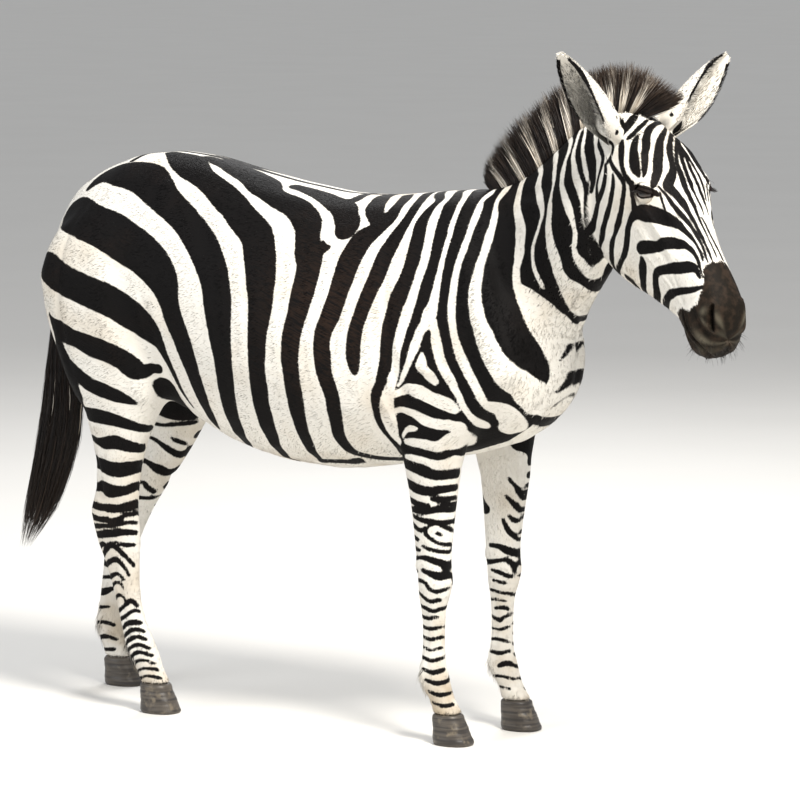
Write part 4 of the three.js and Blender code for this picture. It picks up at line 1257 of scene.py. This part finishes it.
def long_hair_material():
    """Hair that reads its stripe from its root, and darkens towards its tip."""
    shader = Shader("long_hair", Roughness=0.5, Specular_IOR_Level=0.25)
    tone = shader.read("tone")
    dark, pale = shader.mix(tone, HAIR_BLACK, HAIR_BROWN), shader.mix(tone, HAIR_PALE, HAIR_CREAM)
    root = shader.mix(shader.ramp(shader.read("mark"), -1.5, 1.5), dark, pale)
    return shader.paint(shader.mix(shader.read("tip"), root, shader.mix(tone, TIP_DARK, TIP_BROWN)))


# ---- camera, light, floor --------------------------------------------------------------------------------

CAMERA_TURN, CAMERA_RISE = 30, 7
CAMERA_TARGET = (184, 0, 757)
CAMERA_DISTANCE = 10.0
FRAME_WIDTH = 1.824  # metres across the picture at the target
SENSOR_WIDTH = 36
LIGHTS_AIM = (0, 0, 800)
FLOOR_HALF = 260.0
# Turn, rise, distance, size, power, tint.
LIGHTS = {
    "key": (62, 48, 5.5, 1.6, 520, (1.0, 0.96, 0.90)),
    "fill": (-35, 22, 6.5, 4.0, 130, (0.93, 0.96, 1.0)),
    "rim": (200, 40, 5.5, 2.5, 160, (1, 1, 1)),
}


def aim(thing, target, turn, rise, distance):
    """Sets a camera or a lamp at a distance from its target, looking at it."""
    turn, rise = math.radians(turn), math.radians(rise)
    back = Vector((math.sin(turn) * math.cos(rise), -math.cos(turn) * math.cos(rise), math.sin(rise)))
    thing.location = Vector(to_row(target)) + back * distance
    thing.rotation_euler = (-back).to_track_quat("-Z", "Y").to_euler()


def make_camera():
    camera = place_object("camera", bpy.data.cameras.new("camera"))
    aim(camera, CAMERA_TARGET, CAMERA_TURN, CAMERA_RISE, CAMERA_DISTANCE)
    camera.data.sensor_width = SENSOR_WIDTH
    camera.data.lens = SENSOR_WIDTH * CAMERA_DISTANCE / FRAME_WIDTH
    camera.data.clip_end = 600
    bpy.context.scene.camera = camera


def make_studio():
    for name, (turn, rise, distance, size, power, tint) in LIGHTS.items():
        lamp = bpy.data.lights.new(name, "AREA")
        lamp.shape = "DISK"
        lamp.size, lamp.energy, lamp.color = size, power, tint
        aim(place_object(name, lamp), LIGHTS_AIM, turn, rise, distance)
    world = bpy.data.worlds.new("studio")
    bpy.context.scene.world = world
    world.use_nodes = True
    sky = world.node_tree.nodes["Background"].inputs
    sky["Color"].default_value = (0.90, 0.92, 0.95, 1)
    sky["Strength"].default_value = 0.62
    bpy.context.scene.view_settings.view_transform = "Standard"
    shader = Shader("floor_paper", Roughness=0.85)
    shader.paint(shader.mix(shader.noise(1.5, 2.0), (0.66, 0.645, 0.615), (0.70, 0.685, 0.655)))
    mesh = bpy.data.meshes.new("floor")
    corners = [(x * FLOOR_HALF, y * FLOOR_HALF, 0) for x, y in ((-1, -1), (1, -1), (1, 1), (-1, 1))]
    mesh.from_pydata(corners, [], [(0, 1, 2, 3)])
    mesh.materials.append(shader.material)
    place_object("floor", mesh)


# ---- locks -----------------------------------------------------------------------------------------------

TUFT_PATCH = 0.003  # size of each lock's patch on the map of its piece
RING = ((0, 1), (1, 2), (2, 0))  # the three sides of a lock
DARK, PALE = -6.0, 12.0  # marks well inside a black stripe and well outside it


def times(direction, amounts):
    """A direction for each lock, times an amount for each point along it."""
    return direction[:, None] * amounts[..., None]


def locks(name, lines, sides, widths, places, notes, material, slot, thick=0.35):
    """Hair as closed, tapered, three-sided locks, each a patch of the map at its root's place.

    lines: points along each lock, (n, k, 3); sides: directions across it, (n, 1, 3) or (n, k, 3); widths: half
    width at each point but the tip, (n, k - 1); places: (n, 2) on the unwrap; notes: name to (n,) or (n, k)."""
    n, k, _ = lines.shape
    sides = np.broadcast_to(sides, lines.shape)[:, :-1]
    widths = np.broadcast_to(widths, (n, k - 1))[..., None]
    rise = unit(np.cross(sides, np.gradient(lines, axis=1)[:, :-1]))
    body, across, up = lines[:, :-1], sides * widths, rise * widths * thick
    rings = np.stack([body - across - up, body + across - up, body + up], 2)
    points = np.concatenate([rings.reshape(n, -1, 3), lines[:, -1:]], 1)
    per = 3 * (k - 1) + 1
    last = 3 * (k - 2)
    quads = [(3 * r + a, 3 * r + b, 3 * r + b + 3, 3 * r + a + 3) for r in range(k - 2) for a, b in RING]
    tris = [(0, 2, 1), *((last + a, last + b, per - 1) for a, b in RING)]
    base = (np.arange(n) * per)[:, None, None]
    faces = [(base + np.array(f)).reshape(-1, len(f[0])) for f in (quads, tris) if f]
    piece = new_piece(name, points.reshape(-1, 3), faces, material)
    mesh = piece.data
    for key, values in notes.items():
        values = np.broadcast_to(values.reshape(n, -1), (n, k))
        store(mesh, key, np.concatenate([np.repeat(values[:, :-1], 3, 1), values[:, -1:]], 1).ravel())
    row = np.concatenate([np.repeat(np.arange(k - 1), 3), [k - 1]]) / (k - 1) - 0.5
    column = np.concatenate([np.tile([-0.5, 0.5, 0.0], k - 1), [0.0]])
    uv = (places[:, None] + TUFT_PATCH * np.stack([column, row], 1)).reshape(-1, 2)
    layer = mesh.uv_layers.new(name="OFBake")
    layer.uv.foreach_set("vector", uv[read(mesh.loops, "vertex_index")].astype(np.float32).ravel())
    return piece


def dark_hair(n):
    return {"mark": np.full(n, DARK), "tone": rng.random(n) * 0.3, "tip": np.zeros(n)}


# ---- mane and tail ---------------------------------------------------------------------------------------

# Point on the crest, heading, hair length, lean back along the crest, half thickness at root and tip.
MANE = rows("""
430 0 1250 0 26 1.1 12 4, 463 -5 1258 -4 72 1.0 20 7, 517 -20 1279 -8 103 0.9 29 10,
577 -44 1314 -13 123 0.8 34 12, 645 -72 1360 -18 122 0.62 35 13, 715 -98 1410 -20 114 0.46 34 13,
780 -117 1436 -22 104 0.44 32 13, 806 -121 1446 -22 99 0.34 31 13, 826 -124 1451 -18 94 -0.12 29 12,
846 -129 1451 -10 88 -0.6 25 11, 862 -133 1450 2 80 -1.15 21 9, 876 -138 1447 12 92 -2.0 15 7,
886 -142 1442 16 60 -2.5 10 5
""")
# The mane's white bands: place along the trunk, half width.
MANE_WHITE = rows("476 8, 533 8, 591 9, 643 9, 691 8, 729 6, 766 6, 805 7, 826 4, 847 4")
MANE_LOCKS, MANE_STEPS = 8600, 5
# Point on the tail's axis, half size across, half size fore and aft.
TAIL = rows("""
-640 0 1196 26 30, -690 0 1150 25 26, -724 0 1070 22 23, -738 0 980 21 23, -744 0 890 25 27,
-744 0 790 36 41, -746 0 690 42 53, -758 0 610 43 55, -780 0 530 40 52, -812 0 435 31 42, -848 0 360 16 20,
-862 0 330 7 9
""")
TAIL_LOCKS, TAIL_STEPS = 3100, 9
TAIL_HAIR_FROM, TAIL_HAIR_TO = 0.16, 0.52  # shares of the tail's length that hair grows from


def path_at(path, share):
    """Rows of a table at shares of the length of its path."""
    steps = np.linalg.norm(np.diff(path[:, :3], axis=0), axis=1)
    reach = np.concatenate([[0], np.cumsum(steps)]) / steps.sum()
    return np.stack([np.interp(share, reach, column) for column in path.T], -1)


def make_mane(material):
    n = MANE_LOCKS
    t = np.linspace(0, 1, MANE_STEPS)
    share = rng.random(n)
    crest = path_at(MANE, share)
    x, _, _, heading, hair_length, lean, root_half, tip_half = (crest[:, c : c + 1] for c in range(8))
    turn = np.radians(heading)
    ahead = np.hstack([np.cos(turn), np.sin(turn), 0 * turn])
    aside = np.hstack([-np.sin(turn), np.cos(turn), 0 * turn])
    across = rng.uniform(-1, 1, (n, 1))
    hair = unit(UP - lean * ahead + rng.normal(0, 0.055, (n, 3)))
    length = hair_length * (1 - 0.30 * across**2) * rng.uniform(0.80, 1.0, (n, 1)) + 4
    bow = rng.normal(0, 0.05, (n, 1)) * t**2
    half = root_half * 0.86 * (1 - t) + tip_half * t
    root = crest[:, :3] - UP * (7 + 9 * across**2)
    lines = root[:, None] + times(hair, (length + 12) * t) + times(aside, across * half)
    lines += times(ahead, bow * length)
    widths = rng.uniform(1.0, 1.9, (n, 1)) * (1 - 0.55 * t[:-1])
    sides = unit(ahead + rng.normal(0, 0.5, (n, 3)))[:, None]
    place = x[:, 0] + rng.normal(0, 1.1, n)
    mark = np.max([band - np.abs(place - middle) for middle, band in MANE_WHITE], 0)
    dark_from = 0.62 - 0.12 * smoothstep(700, 800, x)
    tip = smoothstep(dark_from, dark_from + 0.32, t + rng.normal(0, 0.07, (n, 1)))
    notes = {"mark": mark, "tone": rng.random(n), "tip": tip * (0.55 + 0.45 * (hair_length > 50))}
    places = np.c_[0.02 + 0.96 * share, 0.5 + 0.3 * across]
    rear = share < np.median(share)
    for label, of in (("rear", rear), ("front", ~rear)):
        part = {key: values[of] for key, values in notes.items()}
        shape = (lines[of], sides[of], widths[of], places[of])
        piece = locks(f"mane_{label}", *shape, part, material, "long_hair")
        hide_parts("mane")


def make_tail(material):
    n = TAIL_LOCKS
    t = np.linspace(0, 1, TAIL_STEPS)
    start = rng.uniform(TAIL_HAIR_FROM, TAIL_HAIR_TO, (n, 1))
    end = np.clip(start + rng.uniform(0.26, 0.62, (n, 1)), 0.55, rng.uniform(0.82, 1.0, (n, 1)))
    angle = rng.uniform(0, 2 * math.pi, (n, 1))
    reach = np.sqrt(rng.random((n, 1)))
    share = start + (end - start) * t
    path = path_at(TAIL, share)
    swirl = angle + rng.normal(0, 0.35, (n, 1)) * t
    spread = 0.35 + reach * 0.63 * smoothstep(0.0, 0.35, t)
    lines = path[..., :3].copy()
    lines[..., 0] += np.cos(swirl) * path[..., 4] * spread + rng.normal(0, 3, (n, 1)) * t**2
    lines[..., 1] += np.sin(swirl) * path[..., 3] * spread + rng.normal(0, 3, (n, 1)) * t**2
    widths = rng.uniform(0.9, 2.0, (n, 1)) * (1 - 0.6 * t[:-1])
    outward = np.stack([np.cos(swirl), np.sin(swirl), np.zeros_like(swirl)], -1)
    sides = unit(np.cross(outward, UP) + 0.3 * rng.normal(0, 1, (n, 1, 3)))
    tip = smoothstep(0.55, 1.0, share + rng.normal(0, 0.05, (n, 1))) * 0.8
    pale = (rng.random((n, 1)) < 0.04) & (start < 0.3)
    notes = {"mark": np.where(pale, 3.0, DARK), "tone": rng.random(n) ** 1.6, "tip": tip}
    around, down = angle / (2 * math.pi), (start - TAIL_HAIR_FROM) / (TAIL_HAIR_TO - TAIL_HAIR_FROM)
    places = 0.03 + 0.94 * np.hstack([around, down])
    piece = locks("tail_hair", lines, sides, widths, places, notes, material, "long_hair")
    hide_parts("tail")


# ---- eyes and hooves -------------------------------------------------------------------------------------

LASHES, LASH_STEPS = 90, 5
HOOF_TOP, HOOF_VOXEL = 70, 3.2


def make_eye(name, material):
    """An eyeball with the low dome of the cornea, and where each point lies from the middle of the pupil."""
    centre, *axes = eye_frame(SIDES[name])
    points, triangles = ball(40, 64)
    dome = 1.3 * smoothstep(0.72, 0.90, points[:, 2])
    world = centre + (points * (EYE_RADIUS - 0.9 + dome)[:, None]) @ np.array(axes)
    piece = new_piece(f"eyeball_{name}", world, [triangles], material)
    store(piece.data, "gaze", np.where(points[:, 2:] > 0, points * EYE_RADIUS, 30.0))
    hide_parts(f"eye_{name}")


def make_lashes(name, material):
    n = LASHES
    t = np.linspace(0, 1, LASH_STEPS)
    centre, first, second, out = eye_frame(SIDES[name])
    s = np.linspace(-19, 18, n) + rng.normal(0, 0.4, n)
    w = opening(s)[0] + rng.uniform(0.2, 1.6, n)
    o = np.sqrt(np.maximum((EYE_RADIUS + 1.2) ** 2 - s**2 - w**2, 4))
    root = centre + np.stack([s, w, o], 1) @ np.array([first, second, out])
    length = rng.uniform(10, 17, n) * (1 - 0.4 * (s / 20) ** 2)
    outward = out * 0.95 - second * 0.42 + np.outer(s / 26, first) + rng.normal(0, 0.08, (n, 3))
    curl = 0.25 * np.outer(length, t**2)[..., None] * second
    lines = root[:, None] + times(outward, np.outer(length, t)) + curl
    places = np.c_[0.05 + 0.9 * (s + 20) / 40, np.full(n, 0.5)]
    widths = 0.45 * (1 - 0.7 * t[:-1])
    locks(f"lashes_{name}", lines, first, widths, places, dark_hair(n), material, "long_hair", 0.7)


def make_hooves(material):
    """The horn with its growth rings and the swelling under the hair line."""
    for name in [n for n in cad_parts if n.startswith("hoof_")]:
        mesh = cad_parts[name].data
        points, quads = remeshed(read_points(mesh), read_triangles(mesh), HOOF_VOXEL)
        work = bpy.data.meshes.new("work")
        work.from_pydata(points.tolist(), [], quads.tolist())
        points = smoothed(points, read_edges(work), 8, 0.8)
        bpy.data.meshes.remove(work)
        normals = normals_of(points, halves(quads))
        x, _, z = points.T
        wall = smoothstep(0.35, 0.75, np.hypot(normals[:, 0], normals[:, 1]))
        rings = 0.45 * np.sin(z / 5.2 + 0.03 * x) + 0.25 * np.sin(z / 2.1 + 0.02 * x)
        coronet = 1.4 * hump(z - HOOF_TOP + 6, 6)
        points = points + (wall * (rings + coronet - 0.8))[:, None] * normals
        points[:, 2] = np.maximum(points[:, 2], 0)
        piece = new_piece(f"{name}_horn", points, [quads], material)
        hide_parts(name)


# ---- coat ------------------------------------------------------------------------------------------------

# Piece, tufts, length, half width, how far the tips stand off the skin.
COAT = [
    ("trunk_right", 43000, 11, 0.95, 0.3),
    ("trunk_left", 33000, 12, 1.1, 0.32),
    ("neck_right", 27000, 9.5, 0.8, 0.32),
    ("neck_left", 20000, 10, 0.9, 0.36),
    ("head_right", 35000, 5.2, 0.5, 0.4),
    ("head_left", 26000, 5.6, 0.55, 0.45),
    ("legs_front", 29000, 7.5, 0.7, 0.45),
    ("legs_hind", 32000, 8, 0.75, 0.5),
]
TRUNK, NECK, HEAD, LEGS_FRONT, LEGS_HIND = 0, 2, 4, 6, 7  # numbers of the pieces above, right sides first
ROOT_DEPTH = 0.3  # how deep in the skin a tuft starts
LONG_TUFTS = 4400
EYE_BARE = 26  # no tufts nearer to the middle of an eye
CORONET, FETLOCK = 90, 220  # heights that the hair over the hoof and behind the fetlock reaches up to
EAR_HAIRS, EAR_FUR = 1500, 2600
WHISKERS, WHISKER_STEPS = 150, 5


class Hide:
    """The finished skin without its ears, to grow hair from."""

    def __init__(self, mesh, points, marks, count):
        triangles = read_triangles(mesh)
        self.triangles = triangles[(triangles < count).all(1)]
        self.points, self.marks = points, marks
        self.normals = normals_of(points, self.triangles)
        self.middles = points[self.triangles].mean(1)

    def open_skin(self):
        """Where tufts grow: not on the eyes, the nostrils, the lips' edges and the hooves."""
        lips = distance_to(head_chart(self.middles), MOUTH, 30, False)
        bare = near_eye(self.middles, EYE_BARE) | (self.marks["pit"][self.triangles].max(1) >= 0.1)
        bare |= (lips < 5) & (head_share(self.middles) > 0.5)
        return ~bare & (self.middles[:, 2] > 66)

    def grow(self, weights, count):
        """Roots, normals and markings at random places on the skin."""
        a, b, c = self.points[self.triangles.T]
        area = np.linalg.norm(np.cross(b - a, c - a), axis=1) * weights
        chosen = rng.choice(len(self.triangles), count, p=area / area.sum())
        u, v = np.sqrt(rng.random(count)), rng.random(count)
        corners, shares = self.triangles[chosen], np.stack([1 - u, u * (1 - v), u * v], 1)

        def there(values):
            return (values[corners] * (shares if values.ndim == 1 else shares[..., None])).sum(1)

        notes = {key: there(values) for key, values in self.marks.items()}
        return there(self.points), unit(there(self.normals)), notes


def part_of(points):
    """Number of the coat piece in COAT that each place belongs to."""
    x, y, z = points.T
    fore = x > LEGS_PART_X
    part = np.where((x > 455) & (z > 880), NECK, TRUNK) + (y > 0)
    part = np.where(z < np.where(fore, 640, 700), np.where(fore, LEGS_FRONT, LEGS_HIND), part)
    return np.where(head_share(points) > 0.5, HEAD + (head_axes(points)[1] > 0), part)


def lie_of(points, normals):
    """The way that the hair lies: backward and down, down the legs and the breast, along the face."""
    x, _, z = points.T
    along, _, above = head_axes(points)
    neck = smoothstep(430, 560, x) * smoothstep(880, 980, z)
    down = np.clip(smoothstep(740, 620, z) + smoothstep(545, 600, x) * smoothstep(1010, 900, z), 0, 1)
    flow = np.stack([-1 + 0.35 * neck + 0.93 * down, 0 * x, -0.30 - 0.55 * neck - 0.8 * down], 1)
    turn = 2 * smoothstep(90, 190, along) - 1
    cheek = smoothstep(-40, -110, above)
    face = np.outer(turn * (1 - 0.5 * cheek), ALONG) - np.outer(0.9 * cheek, ABOVE)
    head = head_share(points, 30)[:, None]
    flow = flow * (1 - head) + face * head
    flow = unit(flow - dot(flow, normals) * normals)
    yaw = rng.normal(0, 0.16, len(points))[:, None]
    return flow * np.cos(yaw) + np.cross(normals, flow) * np.sin(yaw)


def fitted(flat):
    """Places on an unwrap, fitted to its map."""
    low, high = flat.min(0), flat.max(0)
    return 0.02 + 0.96 * (flat - low) / (high - low)


def unwrap(points, part):
    """The skin of one part laid out flat: a cylinder round its own axis."""
    x, y, z = points.T
    if part < HEAD:
        trunk = part < NECK
        along = x if trunk else 0.6 * x + 0.8 * z
        middle = follow(x, BACK, 3)[0] if trunk else 1130 + 0.9 * (x - 640)
        return fitted(np.c_[along, np.arctan2(z - middle, np.abs(y) + 30)])
    if part < LEGS_FRONT:
        return fitted(head_chart(points, mirrored=False))
    kind = "front" if part == LEGS_FRONT else "hind"
    centre = np.where(y < 0, leg_x(f"{kind}_right", z), leg_x(f"{kind}_left", z))
    return fitted(np.c_[z + np.where(y < 0, 0, 900), np.arctan2(np.abs(y) - LEG_Y[kind], x - centre)])


def coat_piece(name, root, normal, flow, length, half, lift, places, notes, material, steps=3):
    t = np.linspace(0, 1, steps)
    out = (lift[:, None] + ROOT_DEPTH) * np.sqrt(t) - ROOT_DEPTH
    lines = root[:, None] + times(flow, np.outer(length, t)) + times(normal, out)
    widths = np.outer(half, np.linspace(0.85, 1.0, steps - 1))
    sides = np.cross(normal, flow)[:, None]
    locks(f"coat_{name}", lines, sides, widths, places, notes, material, "coat", 0.12)


def make_coat(hide, material):
    """Short tufts all over; shorter towards a stripe's edge, so that it stays sharp."""
    part = part_of(hide.middles)
    thin = 1 - 0.6 * (hide.marks["muzzle"][hide.triangles].mean(1) < 10)
    weights = thin * hide.open_skin()
    for number, (name, count, length, half, lift) in enumerate(COAT):
        root, normal, notes = hide.grow(weights * (part == number), count)
        scale = rng.uniform(0.7, 1.25, count) * (1 - 0.45 * (notes["muzzle"] < 15))
        scale *= 1 - 0.35 * near_eye(root, 50)
        reach = length * scale * np.clip(np.abs(notes["mark"]) / length, 0.4, 1)
        flow = lie_of(root, normal)
        tips = lift * rng.uniform(0.3, 1.2, count) * scale
        places = unwrap(root, number)
        coat_piece(name, root, normal, flow, reach, half * scale, tips, places, notes, material, 2)


def near_ears(points, reach):
    return sum(hump(np.linalg.norm(points - ear_axes(name)[0], axis=1), reach) for name in SIDES)


def make_long_tufts(hide, material):
    """Where the coat is longer: jaw, throat, breast, belly, fetlocks, coronets and the ears' roots."""
    middles = hide.middles
    x, _, z = middles.T
    along, round_it = head_chart(middles).T
    head = head_share(middles) > 0.5
    rise = hide.normals[hide.triangles].mean(1)[:, 2]
    jaw = head * smoothstep(-225, -290, round_it) * (along < 470)
    throat = ~head * (x > 560) * smoothstep(0.1, -0.4, rise) * (z > 900)
    breast = (x > 560) * (z < 960) * (z > 700) * 0.6
    belly = (z < 680) * (z > 590) * (x < 300) * (x > -330) * smoothstep(-0.5, -0.9, rise) * 0.5
    coronet = (z < 82) * 2.0
    behind = 2.5 * hump(z - 145, 30) * sum(
        own_leg(middles, name) * smoothstep(-8, -22, x - leg_x(name, z)) for name in LEG_LINES
    )
    weights = jaw + throat + breast + belly + behind + coronet + 3 * near_ears(middles, 52)
    root, normal, notes = hide.grow(hide.open_skin() * weights + 1e-9, LONG_TUFTS)
    scale = rng.uniform(0.7, 1.2, LONG_TUFTS)
    zones = [root[:, 2] < CORONET, root[:, 2] < FETLOCK]
    length, lift = np.select(zones, [9, 24], 12) * scale, np.select(zones, [1.0, 3.2], 0.7) * scale
    flow = lie_of(root, normal)
    axis = np.where((root @ LEFT > POLL @ LEFT)[:, None], ear_axes("left")[1], ear_axes("right")[1])
    axis = unit(axis - dot(axis, normal) * normal)
    flow = unit(flow + 4 * near_ears(root, 60)[:, None] * axis)
    places = fitted(np.c_[root[:, 0], np.arctan2(root[:, 2] - 900, root[:, 1])])
    coat_piece("long", root, normal, flow, length, 0.8 * scale, lift, places, notes, material)


def ear_mouth_hair(name):
    """Long pale hair across the ear's mouth, from inside its rims and near its root."""
    n = EAR_HAIRS
    _, axis, sideways, mouth = ear_axes(name)
    share = rng.beta(1.1, 1.8, n) * 0.86
    turn = np.where(rng.random(n) < 0.5, -1, 1) * rng.uniform(0.25, 1.0, n)
    root = ear_surface(name, share, turn, 1.0 + EAR_WALL)
    inward = np.outer(-np.sign(turn), sideways)
    flow = unit(axis + 0.55 * inward + 0.25 * mouth + rng.normal(0, 0.16, (n, 3)))
    length = rng.uniform(13, 30, n) * (1 - 0.55 * share)
    none = np.zeros(n)
    notes = {key: none for key in ("olive", "pit", "down", "brown")}
    notes["mark"] = np.where(rng.random(n) < 0.12 + 0.5 * (share > 0.6), DARK, PALE)
    notes["muzzle"], notes["face"], notes["dirt"] = none + FAR_FROM_MUZZLE, none + 1, rng.uniform(0, 0.35, n)
    places = np.c_[0.02 + 0.45 * share, 0.5 + 0.45 * turn]
    return notes, (root, mouth + none[:, None], flow, length, none + 0.55, none + 2.0, places)


def ear_fur(name):
    """Short fur on the ear's back and rims."""
    n = EAR_FUR
    _, axis, _, mouth = ear_axes(name)
    share, turn = rng.random(n) * 0.97, rng.uniform(-1, 1, n)
    rim = rng.random(n) < 0.30
    turn = np.where(rim, np.sign(turn) * rng.uniform(0.96, 1.0, n), turn)
    root = ear_surface(name, share, turn, 1.0)
    normal = unit(root - ear_surface(name, share, 0 * turn, 1.0) - mouth * 18)
    flow = unit(axis + rng.normal(0, 0.12, (n, 3)))
    flow = unit(flow - dot(flow, normal) * normal)
    notes = ear_markings(root, np.c_[share, turn, 0 * share], name)
    places = np.c_[0.52 + 0.45 * share, 0.5 + 0.45 * turn]
    return notes, (root, normal, flow, rng.uniform(5, 10, n), np.full(n, 0.7), np.full(n, 1.2), places)


def make_ear_hair(name, material):
    (long_notes, long_hair), (short_notes, short_fur) = ear_mouth_hair(name), ear_fur(name)
    joined = [np.concatenate(pair) for pair in zip(long_hair, short_fur)]
    notes = {key: np.concatenate([long_notes[key], short_notes[key]]) for key in short_notes}
    coat_piece(f"ear_{name}", *joined, notes, material)


def make_whiskers(hide, material):
    """A few stiff hairs on the lips, the chin and round the nostrils, and on the eyelids."""
    n = WHISKERS
    t = np.linspace(0, 1, WHISKER_STEPS)
    side = np.where(rng.random(n) < 0.5, -1, 1)
    along, round_it = head_chart(hide.middles).T
    lips = smoothstep(478, 510, along) * smoothstep(-150, -190, round_it)
    head = head_share(hide.middles) > 0.5
    root, normal, _ = hide.grow(head * (lips + 0.03 * near_eye(hide.middles, 46)), n)
    flow = unit(normal + 0.35 * ALONG - 0.35 * ABOVE + rng.normal(0, 0.18, (n, 3)))
    length = rng.uniform(9, 26, n)
    sag = np.outer(0.16 * length, t**2)[..., None] * ABOVE
    lines = root[:, None] + times(flow, np.outer(length, t)) - sag
    sides = unit(np.cross(flow, ABOVE))[:, None]
    notes = dark_hair(n)
    places = np.c_[0.5 + 0.4 * side * rng.random(n), rng.uniform(0.05, 0.95, n)]
    locks("whiskers", lines, sides, 0.28 * (1 - 0.8 * t[:-1]), places, notes, material, "long_hair", 0.8)


# ---- everything ------------------------------------------------------------------------------------------

make_camera()
make_studio()
hide = make_skin(coat_material("coat_skin", True))
eye, hair, fur = eye_material(), long_hair_material(), coat_material("coat_fur", False)
for side_name in SIDES:
    make_eye(side_name, eye)
    make_lashes(side_name, hair)
make_hooves(hoof_material())
make_mane(hair)
make_tail(hair)
make_coat(hide, fur)
make_long_tufts(hide, fur)
for side_name in SIDES:
    make_ear_hair(side_name, fur)
make_whiskers(hide, hair)
